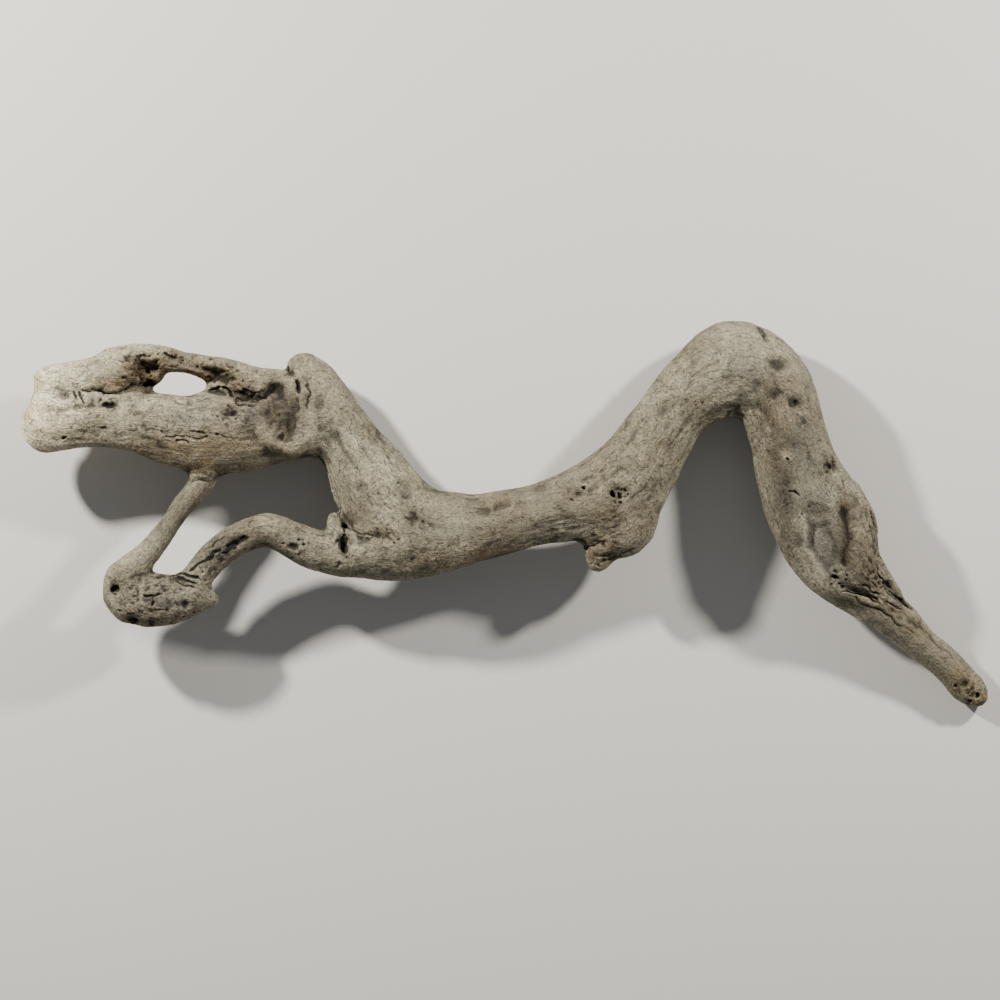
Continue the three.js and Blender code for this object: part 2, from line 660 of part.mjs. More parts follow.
const bleachedWood = new THREE.MeshStandardMaterial({ color: WOOD_COLOUR, roughness: 0.85, metalness: 0 });
const driftwood = new THREE.Mesh(makeWood(), bleachedWood);
driftwood.name = 'driftwood';

const piece = new THREE.Group();
piece.name = 'driftwood_piece';
piece.add(driftwood);

export default piece;
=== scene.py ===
# A crooked, sea-worn piece of driftwood that lies on a pale floor, seen from straight above.
# Lengths are in millimetres, and the finished mesh is written in metres. The floor, the lamps and the
# camera's clipping are in metres.
import math

import bmesh
import bpy
import numpy as np
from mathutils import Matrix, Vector


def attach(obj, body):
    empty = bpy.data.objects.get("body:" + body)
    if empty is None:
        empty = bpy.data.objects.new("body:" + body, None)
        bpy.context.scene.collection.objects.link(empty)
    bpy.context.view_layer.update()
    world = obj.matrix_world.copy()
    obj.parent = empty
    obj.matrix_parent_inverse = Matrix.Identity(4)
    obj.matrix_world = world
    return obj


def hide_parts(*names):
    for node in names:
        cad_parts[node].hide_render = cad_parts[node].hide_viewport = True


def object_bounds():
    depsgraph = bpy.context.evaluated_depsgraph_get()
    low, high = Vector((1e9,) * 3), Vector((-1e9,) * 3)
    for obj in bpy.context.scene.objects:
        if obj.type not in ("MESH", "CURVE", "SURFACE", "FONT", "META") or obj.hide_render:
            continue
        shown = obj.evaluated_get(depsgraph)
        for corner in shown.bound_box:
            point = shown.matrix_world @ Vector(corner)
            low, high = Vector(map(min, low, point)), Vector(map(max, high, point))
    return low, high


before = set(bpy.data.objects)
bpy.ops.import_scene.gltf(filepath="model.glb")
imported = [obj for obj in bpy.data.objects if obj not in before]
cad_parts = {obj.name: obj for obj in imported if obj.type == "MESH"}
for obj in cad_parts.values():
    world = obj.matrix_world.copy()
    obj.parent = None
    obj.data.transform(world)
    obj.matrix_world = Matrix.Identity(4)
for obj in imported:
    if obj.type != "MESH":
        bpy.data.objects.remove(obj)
CAD_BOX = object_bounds()

MM = 0.001
VOXEL = 0.7     # spacing of the working surface
SMOOTH_ROUNDS = 60
SMOOTH_SHARE = 0.8
TRIANGLES = 190_000                    # faces of the finished surface
SEED = 11

# Camera, floor and light
CAMERA_HEIGHT = 5000                   # above the middle of the wood, so that nothing leans outwards
FRAME_WIDTH = 630                      # what the picture shows from side to side
VIEW_CENTRE = (-4, 9, 42)
SENSOR = 36
FLOOR_REACH = 4.0
FLOOR_COLOUR = (0.62, 0.60, 0.57, 1)
# Each lamp lights its own end of the wood more than the other: name, place, target and power in watts.
LAMPS = [
    ("lamp_left", (-0.86, 0.73, 0.78), (-0.25, 0.05, 0), 36),
    ("lamp_right", (0.93, 0.63, 0.72), (0.20, 0, 0), 22),
]
LAMP_SIZE = 0.11
LAMP_COLOUR = (1.0, 0.965, 0.89)
SKY_COLOUR = (0.93, 0.96, 1.0, 1)
SKY_STRENGTH = 0.21

# Middle lines of the limbs: x, y, z and half width. The grain runs along them.
TRUNK = [
    (-124, 94, 29, 11), (-112, 64, 27, 19), (-97, 40, 31, 20), (-80, 11, 37, 26), (-62, -6, 41, 28),
    (-47, -12, 42, 26), (-16, -8, 42, 21), (18, 0, 42, 19), (42, 6, 42, 22), (63, 11, 41, 27),
    (85, 30, 38, 26), (94, 47, 36, 23), (107, 66, 33, 22), (124, 82, 30, 25), (145, 90, 28, 29),
    (166, 80, 28, 30), (177, 52, 31, 26), (184, 26, 33, 27), (193, 4, 34, 29), (203, -15, 33, 29),
    (212, -32, 31, 25), (228, -48.5, 27, 20), (242, -62, 23, 15), (261, -81, 18, 11), (278, -95, 14, 10),
    (293, -110, 10, 10), (303, -120, 8, 8),
]
SIDE_LIMBS = [
    [(-306, 62, 44, 20), (-262, 60, 43, 20), (-231, 58, 41, 21), (-199, 51, 38, 25), (-171, 53, 34, 27),
     (-143, 59, 29, 27), (-121, 61, 25, 23)],
    [(-84, -24, 43, 20), (-102, -26, 44, 15), (-120, -23, 46, 13), (-132, -18, 47, 12),
     (-150, -11, 48, 10), (-168, -15, 47, 10), (-187, -29, 45, 10), (-202, -48, 44, 10)],
    [(-186, 50, 36, 14), (-190, 33, 38, 11), (-192, 20, 38, 10), (-205, 4.5, 40, 9), (-215, -10, 42, 8),
     (-224, -22, 43, 8), (-233, -30.5, 44, 9), (-243, -39.5, 44, 11)],
    [(-248, -50, 43, 14), (-217, -54, 43, 17), (-186, -54, 43, 12)],
]
LIMB_STEP = 3                          # spacing of the samples along a limb
LIMB_ROUNDS = 12                       # rounds that smooth a limb's middle line
LIMB_SHIFT = 1000                      # added to each side limb's run, so that its grain is its own
LIMB_MELT = 7                          # the grain of two limbs runs together over this much
FLOOR_GAP = 0.2                        # what lies lower than this rests on the floor and isn't carved

# Broad swells and dents of the upper side: x, y, half length, half width, turn and height.
FORMS = [
    (-243, 90, 17, 8, 0.15, 2.2),           # brow
    (-293, 87, 5, 4.5, 0, 1.4),             # knob at its end
    (-293, 58, 9, 8, 0, 0.8),
    (-280, 69, 12, 4, 0.1, 1.5),
    (-262, 64, 14, 6, 0, 0.9),
    (-185, 88.5, 19, 5, -0.28, -2.6),       # hollowed face of the arch over the eye hole
    (-231, 93, 9, 6, 0.2, 2.2),             # lumpy floor of the rotten pocket in front of it
    (-139, 62, 12, 19, 0.18, 2.6),          # lumpy floor of the neck's hollow, with two deeper pockets
    (-146, 80, 5, 4, -0.3, -2.2),
    (-135, 55, 6, 8, 0.2, -1.2),
    (-205, 62, 22, 8, 0, 0.8),
    (-156, 46, 14, 6, 0.4, 0.8),
    (-124, 96, 7, 7, 0, 0.8),               # knob of the neck
    (-122, 44, 7, 7, 0, 1.6),
    (-92, 33, 6, 14, 0.35, 0.7),
    (-66, 2, 9, 12, 0.3, -0.9),
    (-84, -12, 10, 4, -0.3, -1.0),
    (-40, 14, 12, 5, -0.3, -0.8),
    (8, 10, 26, 5, 0.05, 0.6),
    (26, -8, 20, 5, 0.15, -0.6),
    (56, -2, 12, 9, 0.5, 0.8),
    (55, -20, 9, 5, -0.2, 2.0),             # shallow cleft over the broken stub
    (54, -30, 9, 6, 0.2, -0.8),
    (78, -12, 10, 8, 0, 0.8),
    (98, 65, 7, 6, 0.7, -0.7),              # soft dents on the bend
    (138, 85, 8, 6, 0.2, -0.7),
    (158, 82, 9, 7, 0, -0.8),
    (171, 95, 8, 7, 0, -1.4),
    (169, 76, 4.5, 4, 0, -0.9),
    (182, 70, 4.5, 4, 0, -1.4),
    (163, 112, 3, 5, 0.3, -0.3),
    (150, 104, 12, 6, 0, 0.8),
    (184, 50, 8, 12, 0.1, 0.8),
    (172, 20, 6, 12, 0.1, 0.9),
    (190, 18, 9, 7, 0, -1.0),
    (199, -15, 15, 27, 0.24, 3.6),          # the scoop's floor is shallow and nearly flat
    (203, -26, 5, 8, 0.3, 0.8),
    (197, -6, 8, 2.5, 0, -0.4),
    (224, -12, 4.5, 20, 0.12, 2.2),         # ridge that walls it on the right
    (233, -44, 8, 6, -0.8, 0.9),
    (262, -80, 20, 4, -0.75, 0.9),
    (250, -74, 26, 3, -0.72, -0.4),
    (292, -108, 5, 4, -0.7, -1.2),
    (-240, -53, 6, 7, 0, 0.8),
    (-212, -50, 10, 6, 0.2, 0.8),
    (-226, -62, 8, 5, 0, -0.9),
    (-235.5, -70, 3.4, 5, 0, -3.5),         # gap at the foot of the burl
]

# Holes in the upper side: x, y, half length, half width, turn, depth and height of the rim.
PITS = [
    (-238, 97, 5, 3, 0.5, 1.3, 0.2),         # rotten pocket in the brow
    (-230.5, 87.5, 2, 4, 0.2, 1.4, 0),
    (-225, 82.5, 4.5, 2.2, 0, 2.2, 0),
    (-217, 82.5, 2.4, 3.4, 0, 2.6, 0),
    (-222, 96, 4.5, 1.8, 0.1, 1.0, 0),
    (-233, 91, 2.4, 2, 0, 1.6, 0),
    (-250, 68.5, 5.5, 3.0, -0.2, 2.2, 0.3),
    (-252.5, 68.6, 2.4, 1.8, -0.2, 2.0, 0),
    (-277.7, 48.2, 1.4, 1.2, 0, 2.2, 0.3),
    (-253, 54, 3, 1.8, 0, 0.8, 0),
    (-172.5, 63.5, 2.2, 1.9, 0, 2.2, 0),
    (-163, 74, 8, 4, -0.3, 1.4, 0),          # charred cleft
    (-186, 98, 3, 1.2, -0.4, 0.7, 0),
    (-174, 94, 5, 1.8, -0.4, 0.9, 0),
    (-131.5, 80.5, 2.2, 6, 0.35, 3.0, 0.3),
    (-138, 91.5, 1.6, 3.2, 0.3, 3.0, 0.2),
    (-142, 49, 2.6, 2.4, 0, 1.6, 0),
    (-101.5, -20, 2.4, 5.6, 0.1, 2.6, 0.5),  # knot hole beside the branch
    (-106, -16.5, 1.3, 1.3, 0, 1.8, 0.4),
    (-105.5, -31.5, 2.2, 2.0, 0, 0.8, 0.3),
    (-134, -20.5, 4.2, 3.6, 0.3, 1.8, 0.4),
    (-134, -19, 2.2, 1.4, 0.2, 1.8, 0),
    (-70.2, -18.2, 0.9, 0.8, 0, 1.6, 0.2),
    (-58, -2, 4, 4, 0, 0.9, 0.2),
    (48.5, 16.1, 1.7, 1.6, 0, 3.0, 0.3),     # worm holes in the stem
    (41, 9.6, 2.4, 0.9, -0.4, 1.4, 0.3),
    (66.8, 12.3, 2.2, 2.6, 0.2, 4.0, 0.4),
    (71.5, 11.5, 2.2, 3.4, 0.3, 2.2, 0.2),
    (75, 16, 1.4, 2.0, 0.5, 1.2, 0),
    (-3, 7.5, 6, 5.2, 0, 0.45, 0.5),         # closed knot
    (162.8, 112.5, 1.3, 2.6, 0.3, 0.9, 0),
    (182.3, 70.3, 2.0, 1.8, 0, 1.4, 0.2),
    (124, 70.2, 0.9, 0.8, 0, 1.2, 0.1),
    (176.3, 35.3, 1.3, 0.9, 0, 1.6, 1.2),    # pin hole with a pale edge
    (203.5, 30, 2.0, 2.4, 0.4, 3.4, 0.3),
    (206.5, -40, 4.0, 1.9, -0.1, 3.4, 0.6),  # hole at the foot of the scoop
    (298, -115, 2.0, 1.8, 0, 1.8, 0.5),      # rotten holes in the tip
    (293.5, -119, 2.6, 1.3, 0.3, 1.5, 0.4),
    (284.3, -109, 1.4, 1.6, 0, 2.0, 0.7),
    (290, -107, 3, 3, 0, 1.0, 0.2),
    (-246, -47.3, 3.4, 1.7, 0.7, 2.3, 0.3),  # holes in the burl
    (-236, -69, 3.4, 2.2, 0.3, 2.2, 0.4),
    (-223, -69, 3.6, 1.8, -0.1, 2.6, 0.3),
    (-202, -56.5, 3.4, 3, 0, 0.9, 0.4),
]

# Cracks, splits and creases in the upper side: points, half width, depth and how black they are. The
# black is painted shade in their depths, over dark, rotten wood in places.
CRACKS = [
    ([(-266, 75.5), (-258, 75), (-246, 76.5), (-237, 79), (-229, 80)], 1.2, 0.8, 0.2),
    ([(-230, 80.5), (-225, 82), (-219, 80.5), (-216, 79)], 1.6, 1.8, 0.7),
    ([(-188, 78), (-181, 80.5), (-176, 79), (-171, 73.5), (-164, 72), (-158, 76), (-152, 78)],
     1.5, 2.6, 0.8),
    ([(-172, 74), (-168, 69.5), (-162, 68), (-156, 69)], 1.4, 1.6, 0.7),
    ([(-168, 78), (-162, 76), (-156, 72), (-150, 73)], 1.6, 1.6, 0.75),
    ([(-215, 101.5), (-211.5, 99), (-206.5, 97)], 1.3, 2.0, 0.85),
    ([(-222, 99.5), (-229, 100), (-236, 98)], 1.0, 0.8, 0.4),
    ([(-216, 48), (-208, 48.5), (-201, 49.5)], 0.8, 0.9, 0.5),
    ([(-199, 51.5), (-194, 52), (-188, 51)], 1.0, 1.4, 0.65),
    ([(-209, 45), (-203, 46), (-199, 45)], 0.8, 0.9, 0.6),
    ([(-198, 48.5), (-192, 47.5), (-186, 49)], 0.7, 0.8, 0.5),
    ([(-188, 51.5), (-178, 49.5), (-170, 46)], 0.7, 0.7, 0.35),
    ([(-272.5, 77.5), (-270.5, 73.5)], 0.8, 1.0, 0.7),
    ([(-268.5, 77), (-267, 72), (-264.5, 69)], 0.8, 1.2, 0.7),
    ([(-125.5, 84), (-124, 75), (-124.5, 66)], 1.2, 1.2, 0.25),
    ([(-120.5, 40), (-116, 33), (-112, 24), (-109, 14), (-107, 6), (-104, -1)], 1.3, 2.0, 0.45),
    ([(-104, -6), (-98, -10.5), (-90, -12.5), (-82, -13.5)], 1.2, 0.8, 0.12),
    ([(-103, -9), (-101, -14), (-100, -20)], 1.0, 1.2, 0.3),
    ([(-57, -3), (-52, -5.5), (-46, -7)], 0.9, 0.7, 0.5),
    ([(42, -18), (48, -20), (53, -21.5), (58, -19.5)], 1.4, 1.2, 0.3),
    ([(50, -23), (57, -26), (65, -28), (73, -27)], 0.9, 1.0, 0.3),
    ([(47, -32), (54, -31.5), (61, -33)], 0.8, 0.8, 0.3),
    ([(58, -30), (66, -29), (74, -25), (82, -20)], 1.2, 1.0, 0.15),
    ([(177, 14.5), (181.5, 14.2), (183.5, 11)], 0.9, 2.0, 0.7),
    ([(228, 3), (231.5, -5), (234, -13), (235, -23), (238.5, -31), (243, -40)], 1.3, 2.0, 0.4),
    ([(232, -30), (234, -37), (238, -44)], 1.0, 1.2, 0.35),
    ([(239.5, -47), (245, -51.5), (251, -56), (256, -59.5)], 1.6, 4.0, 0.9),
    ([(210, -48.5), (219, -49.3), (227, -51.5), (236, -57)], 0.9, 2.2, 0.8),
    ([(222, -44.5), (229, -47), (237, -51)], 0.7, 1.2, 0.4),
    ([(225, -39), (231, -43.5), (238, -47.5)], 0.7, 1.0, 0.35),
    ([(238, -53), (245, -57.5), (252, -62)], 0.8, 1.4, 0.5),
    ([(215, -51), (226, -56), (238, -62.5), (250, -70.5), (262, -79)], 0.8, 0.7, 0.12),
    ([(243, -59), (254, -66), (266, -76), (277, -86), (285, -94)], 0.6, 0.5, 0.1),
    ([(-228, -49.5), (-225, -51.5), (-221, -51.5), (-216, -49.5)], 1.3, 2.0, 0.85),
    ([(-221.5, -51.5), (-222, -55), (-224, -57.5)], 1.3, 1.4, 0.7),
    ([(-222, -60), (-217, -60.5), (-212, -59.5)], 0.8, 0.8, 0.35),
    ([(-222, -40), (-217, -38), (-211, -37.5), (-206, -39.5), (-200, -41.5), (-194, -44.5)],
     1.3, 2.0, 1.0),
    ([(-211, -36.5), (-204, -36.8), (-198, -39), (-192, -41.5)], 1.2, 1.8, 1.0),
    ([(-208, -42), (-202, -44.5), (-196, -47)], 0.9, 1.2, 0.7),
    ([(-199, -36), (-194, -31), (-189, -28)], 1.3, 1.4, 0.95),
    ([(-190, -30), (-186, -27), (-184, -23.5), (-180, -22)], 2.1, 1.6, 1.0),
    ([(-176, -22), (-171, -18.5), (-166, -15.5), (-161, -14)], 2.8, 1.5, 1.0),
    ([(-180, -24.5), (-174, -23), (-168, -20)], 1.3, 1.0, 0.8),
    ([(-187, -20.5), (-181, -16.5), (-176, -13)], 1.0, 0.8, 0.6),
    ([(-199, 20), (-193, 21.5), (-187, 20)], 1.0, 0.7, 0.3),
]

# Raised edges and filled clefts: points, half width and height.
LIPS = [
    ([(213, 10), (216, 1), (217, -10), (216.5, -20), (216, -29), (212, -38)], 3.4, 1.4),
    ([(208, -48), (217.5, -50.5), (227, -53), (240, -58)], 2.6, 1.9),
    ([(234, -41), (244.5, -51), (257, -61)], 2.6, 2.2),
    ([(-102, -9), (-96, -12.5), (-88, -14), (-76, -16)], 2.8, 2.6),
    ([(-104, -3), (-97, -7.5), (-89, -9.5), (-81, -10.5)], 1.6, 0.9),
    ([(-160, 84), (-153, 89), (-145, 90.5), (-138, 88)], 2.2, 1.8),
    ([(-156, 64), (-153, 52), (-147, 44), (-138, 40.5), (-130, 42)], 2.8, 1.8),
    ([(-131, 88), (-128.5, 78), (-127.5, 66), (-129, 55), (-132, 46)], 2.0, 1.8),
    ([(-264, 79), (-252, 79.5), (-242, 81), (-234, 83.5)], 2.2, 1.0),
    ([(-268, 74.5), (-258, 74.5), (-246, 76), (-236, 78.5), (-228, 80)], 3.0, 3.0),
    ([(-269, 80.5), (-260, 79.5), (-250, 78), (-238, 78.5)], 2.6, 3.2),
    ([(-206, 91.5), (-196, 90.5), (-187, 87), (-180, 83)], 1.6, 1.0),
    ([(-214, 74), (-203, 71.5), (-192, 73), (-186, 77)], 1.6, 0.7),
    ([(180.5, 9), (182.5, -6), (186, -20), (191.5, -29), (199, -37.5), (207, -45), (216, -47)],
     2.6, 0.9),
    ([(233, 6), (236.5, -5), (238, -16), (238.5, -26)], 1.2, 0.8),
    ([(-107, -8), (-106, -14), (-107, -24)], 1.2, 0.9),
    ([(52, -18), (60, -14.5), (68, -15)], 1.8, 0.7),
    ([(170, 15.5), (175, 16.2), (180, 15.6)], 1.2, 0.6),
    ([(214, -48), (227, -54), (240, -61), (254, -71), (268, -83)], 1.6, 0.8),
    ([(-118, 37), (-113.5, 26), (-110.5, 14), (-108.5, 4)], 1.0, 0.7),
    ([(-200, 23), (-193, 24.5), (-186, 23)], 1.2, 0.8),
]

# Rotten wood: x, y, half length, half width, turn, roughness, number of small holes and their size.
ROTTEN = [
    (-229, 91, 14, 11, 0.2, 1.1, 60, 0.9),
    (-210, 97, 13, 5, -0.1, 0.7, 14, 0.8),
    (-180, 87, 19, 7, -0.28, 0.6, 16, 0.8),
    (-163, 75, 10, 7, -0.3, 1.3, 20, 0.9),
    (-140, 64, 14, 22, 0.18, 0.3, 3, 0.8),
    (-250, 69, 8, 5, 0, 0.6, 8, 0.7),
    (-173, 62, 11, 8, 0, 0.5, 14, 0.7),
    (-198, 50, 22, 5, 0, 0.4, 16, 0.7),
    (-102, -20, 6, 11, 0, 0.8, 8, 0.8),
    (-76, -14, 9, 7, 0, 0.5, 9, 0.7),
    (-56, -3, 11, 7, -0.3, 0.5, 10, 0.7),
    (71, 13, 8, 6, 0.4, 0.7, 16, 0.8),
    (60, -26, 16, 9, -0.2, 0.5, 8, 0.7),
    (198, -17, 15, 28, 0.24, 0.2, 3, 0.7),
    (210, -40, 8, 6, 0, 0.8, 8, 1.0),
    (232, -30, 10, 24, 0.35, 0.7, 14, 0.8),
    (204, 28, 6, 6, 0, 0.5, 7, 0.7),
    (296, -115, 10, 8, -0.7, 0.9, 3, 0.7),
    (-218, -53, 30, 17, 0, 0.8, 22, 0.8),
    (-180, -24, 20, 7, 0.7, 0.9, 8, 0.8),
    (-132, -21, 10, 7, 0.1, 0.5, 12, 0.8),
]

# Wood whose fibres stand out as fine ridges: x, y, half length, half width, turn and height.
FIBROUS = [
    (236, -48, 16, 10, -0.6, 0.9), (262, -82, 34, 8, -0.72, 0.35), (-180, -24, 24, 9, 0.75, 0.6),
    (-200, 44, 50, 8, 0, 0.35), (-112, 20, 8, 28, 0.35, 0.4), (232, -20, 8, 26, 0.15, 0.5),
    (60, -22, 20, 12, 0, 0.4), (-140, 60, 18, 26, 0.2, 0.35), (-212, -5, 12, 34, -0.6, 0.3),
    (40, -8, 50, 12, 0.1, 0.25), (150, 90, 60, 40, 0, 0.2),
]

# Dark, brown and grey parts of the upper side: x, y, half length, half width, turn and strength. Most
# are stains; a few dark and brown ones are painted shade, marked below.
DARK_STAINS_AND_PAINTED_SHADE = [
    (-58, -2, 9, 7, 0.5, 0.9), (-50, -5, 12, 2.5, -0.4, 0.4), (-102, -20, 6, 11, 0.1, 0.8),
    (-108, -2, 4, 8, 0.2, 0.5), (-134, -20, 8, 6, 0, 0.5), (-146, -14, 12, 5, 0.2, 0.3),
    (-145, 79, 10, 9, -0.2, 0.85), (-131, 80, 4, 8, 0.3, 0.7), (-136, 58, 11, 15, 0.2, 0.55),
    (-141, 50, 7, 7, 0.4, 0.6), (-161, 75, 15, 8, -0.25, 1.0), (-150, 74, 9, 8, 0, 0.7),
    (-172.5, 63.5, 8, 6, 0, 0.9), (-159, 62, 9, 8, -0.5, 0.55), (-185, 66, 7, 5, 0, 0.35),
    (-250, 68.5, 9, 5.5, -0.2, 0.85), (-269, 73, 5, 8, 0.3, 0.6), (-250, 61, 5, 4, 0, 0.3),
    (-204, 62, 10, 6, 0, 0.45), (-217, 66, 10, 9, 0.3, 0.3), (-235, 84, 12, 5, 0.1, 0.45),
    (-232, 93, 12, 9, 0.3, 0.6), (-238, 98, 8, 5, 0.4, 0.7), (-222, 82, 9, 5, 0, 0.95),
    (-210, 99, 9, 4, -0.4, 0.8), (-174, 94, 8, 4, -0.3, 0.6), (-186, 98, 6, 3, 0, 0.45),
    (-178, 85, 12, 3, -0.3, 0.4), (-196, 50, 22, 6, 0.05, 0.5), (-213, 82, 4, 7, 0, 0.9),
    (-193, 35, 9, 4, 0, 0.45), (-253, 53.5, 5, 4, 0, 0.4), (70, 13.5, 10, 7, 0.3, 0.65),
    (42, 10, 5, 3, 0, 0.4), (48, 16, 4, 4, 0, 0.5), (163, 112, 4, 6, 0.2, 0.5),
    (171, 95, 10, 9, 0, 0.24), (182, 70, 7, 6, 0, 0.33), (169, 76, 7, 6, 0, 0.26),
    (155, 82, 14, 9, 0, 0.3), (138, 86, 9, 7, 0, 0.35), (98, 65, 8, 7, 0, 0.35),
    (185, 45, 14, 22, 0, 0.22), (203.5, 30, 7, 6, 0.4, 0.75), (196, 14, 12, 8, 0, 0.3),
    # (213, -14) is painted shade: a dark band in the furrow along the scoop's right wall.
    (207, -40, 9, 5, 0, 0.75), (213, -14, 5, 26, 0.08, 0.3), (203, -28, 6, 8, 0.3, 0.2),
    (183, -10, 2.5, 14, 0.25, 0.2), (234, -14, 3, 20, 0.15, 0.4), (248, -54, 11, 4, -0.7, 0.8),
    (226, -44, 14, 7, -0.4, 0.45), (-245, -48, 6, 5, 0, 0.5), (-222, -54, 11, 7, 0, 0.55),
    (-208, -40, 16, 5, -0.15, 0.8), (-178, -23, 20, 6, 0.75, 0.8), (-235, -67, 9, 6, 0, 0.55),
    (-203, -56, 6, 5, 0, 0.45), (-224, -61, 18, 4, 0, 0.4), (62, -24, 17, 7, -0.2, 0.55),
    (58, -29, 12, 3, -0.2, 0.4), (-180, 38, 28, 5, 0, 0.35), (290, -107, 7, 7, 0, 0.6),
    (298, -117, 7, 5, 0, 0.6), (-3, 7.5, 4, 3.5, 0, 0.12),
]
BROWN_STAINS_AND_PAINTED_SHADE = [
    (-192, 31, 14, 9, 0, 0.8), (-184, 88, 24, 9, -0.28, 1.0), (-229, 89, 22, 14, 0.2, 1.0),
    (298, -116, 16, 13, -0.7, 1.0), (286, -106, 16, 10, -0.8, 0.9), (-296, 84, 8, 8, 0, 0.9),
    # (-240, 83) is painted shade under the brow's overhang, above the slit.
    (-300, 60, 6, 12, 0, 0.5), (-240, 83, 20, 7, 0.1, 1.0), (-77, -14, 9, 7, 0, 0.6),
    # (-10, -26) and (-205, 42) brown the stem and the block towards their lower edges.
    (255, -68, 34, 9, -0.72, 0.45), (66, -3, 22, 10, 0.3, 0.25), (-10, -26, 60, 7, 0.12, 0.5),
    (-205, 42, 60, 10, 0.04, 0.6), (-140, 62, 15, 22, 0.2, 0.5), (-3, 8, 7, 6, 0, 0.35),
    # (214.5, -12) is painted shade in the furrow along the scoop's right wall.
    (214.5, -12, 6, 28, 0.06, 0.7), (230, -34, 10, 26, 0.3, 0.45), (-215, 101, 16, 6, 0, 0.5),
    (170, 40, 12, 40, 0.1, 0.4), (60, -24, 18, 9, -0.2, 0.55), (-195, -2, 12, 30, -0.6, 0.3),
    (-165, 74, 18, 9, -0.2, 0.5), (-215, -66, 26, 7, 0, 0.4), (235, -56, 26, 8, -0.6, 0.4),
]
GREY_FLOORS = [
    (-137, 62, 11, 17, 0.1, 0.9), (198, -18, 13, 26, 0.25, 1.0), (198, 12, 12, 14, 0, 0.5),
    (-215, -54, 30, 15, 0, 0.5), (-180, -24, 24, 10, 0.75, 0.5), (-130, -20, 14, 10, 0, 0.4),
    (150, 92, 16, 13, 0, 0.5), (-160, 64, 12, 9, 0, 0.8), (230, -30, 10, 22, 0.3, 0.4),
    (185, 40, 16, 26, 0, 0.4), (-205, 62, 24, 10, 0, 0.4),
]
# Parts that are paler or darker than the rest: x, y, half length, half width, turn and by how much. Some
# are painted light and shade, marked below.
TONES_AND_PAINTED_LIGHT = [
    (-292, 66, 26, 36, 0, 2.1), (-235, 64, 34, 16, 0, 0.35), (-240, 103, 24, 8, 0.1, 0.4),
    (-150, 40, 30, 9, 0.3, 0.4), (-112, 82, 20, 24, 0.3, 0.2), (-110, 50, 16, 20, 0.3, 0.1),
    (-122, 44, 9, 9, 0, 0.7), (-140, 62, 11, 16, 0.18, -0.4), (140, 96, 40, 24, 0, 0.25),
    # (143, 64) is painted light on the slope down into the bend's crotch, where the wood shades itself.
    (143, 64, 10, 3.5, 0.15, 1.6), (161, 81, 12, 9, 0, -0.28), (140.5, 85, 6, 6, 0, -0.25),
    (96.5, 65, 6, 6, 0, -0.25), (180, 46, 8, 10, 0, -0.2), (194, -15, 14, 27, 0.25, 0.18),
    # (189, -8) to (197.5, -4) are painted light round the scoop's floor, where its walls shade it; (214,
    # -16) is a painted shadow band along its right wall.
    (189, -8, 3.5, 9, 0.2, 0.8), (193, -22, 3.5, 11, 0.35, 0.8), (205.5, -14, 3.5, 9, 0.3, 0.5),
    (197.5, -4, 8, 3.5, 0, 0.6), (214, -16, 5.5, 28, 0, -0.65), (176.3, 35.3, 4.5, 4, 0, 1.1),
    (-190, 43, 50, 7, 0, 0.35), (-10, 2, 80, 14, 0, 0.12), (10, 15, 50, 7, 0.1, -0.2),
    # (42, -11) is painted light that lifts the shade on the stem's lower slope by the broken stub.
    (42, -11, 14, 7, -0.2, 0.6), (188, 20, 26, 40, 0.15, -0.28), (174, 20, 8, 44, 0.15, -0.48),
    (-205, -4, 22, 24, 0, -0.42), (-150, -18, 34, 14, 0.1, -0.25), (244, -86, 26, 5, -0.72, 0.6),
    (296, -114, 14, 14, 0, -0.15),
]
# Parts that are smoother and plainer than the rest: x, y, half length, half width, turn and how much.
CALM = [
    (197, -16, 14, 27, 0.25, 1.0), (262, -84, 36, 14, -0.72, 0.8), (-10, 0, 70, 16, 0.08, 0.6),
    (-140, 62, 12, 18, 0.18, 0.7), (-170, 38, 46, 10, 0, 0.6), (-205, 0, 24, 34, -0.6, 0.5),
    (150, 92, 50, 34, 0, 0.35), (-110, 40, 16, 50, 0.3, 0.4), (184, 30, 22, 34, 0.1, 0.5),
]

# Relief that is all over the wood: its height and the size of its waves, or their length and width.
LUMPS = (0.8, 26)
FLUTES = (0.42, 48, 9)
FINE_FLUTES = (0.16, 16, 2.6)
WRINKLES = (0.34, (7, 5, 5))
GRIT = (0.13, 1.9)
# Length and width of the standing fibres and of the checks.
FIBRE_WAVES = (26, 1.9)
CHECK_WAVES = (30, 2.4)
CHECK_DEPTH = 0.2
UNDERSIDE_CHECKS = 0.7
CALM_SHARE = 0.6                       # how much of the wrinkles and grit is missing where it is calm


def smoothstep(low, high, value):
    part = np.clip((value - low) / (high - low), 0, 1)
    return part * part * (3 - 2 * part)


def perlin(points, seed):
    """Gradient noise, about -1 to 1, at n x 3 points whose unit is one cell."""
    table = np.random.default_rng(SEED + seed).permutation(256)
    table = np.concatenate([table, table])
    slopes = np.array([(a, b, 0) for a in (1, -1) for b in (1, -1)], float)
    slopes = np.concatenate([np.roll(slopes, turn, axis=1) for turn in range(3)])
    cell = np.floor(points).astype(int)
    part = points - cell
    fade = part ** 3 * (part * (part * 6 - 15) + 10)
    total = np.zeros(len(points))
    for corner in np.ndindex(2, 2, 2):
        i, j, k = ((cell + corner) & 255).T
        slope = slopes[table[table[table[i] + j] + k] % len(slopes)]
        weight = np.prod(np.where(corner, fade, 1 - fade), axis=1)
        total += ((part - corner) * slope).sum(axis=1) * weight
    return total


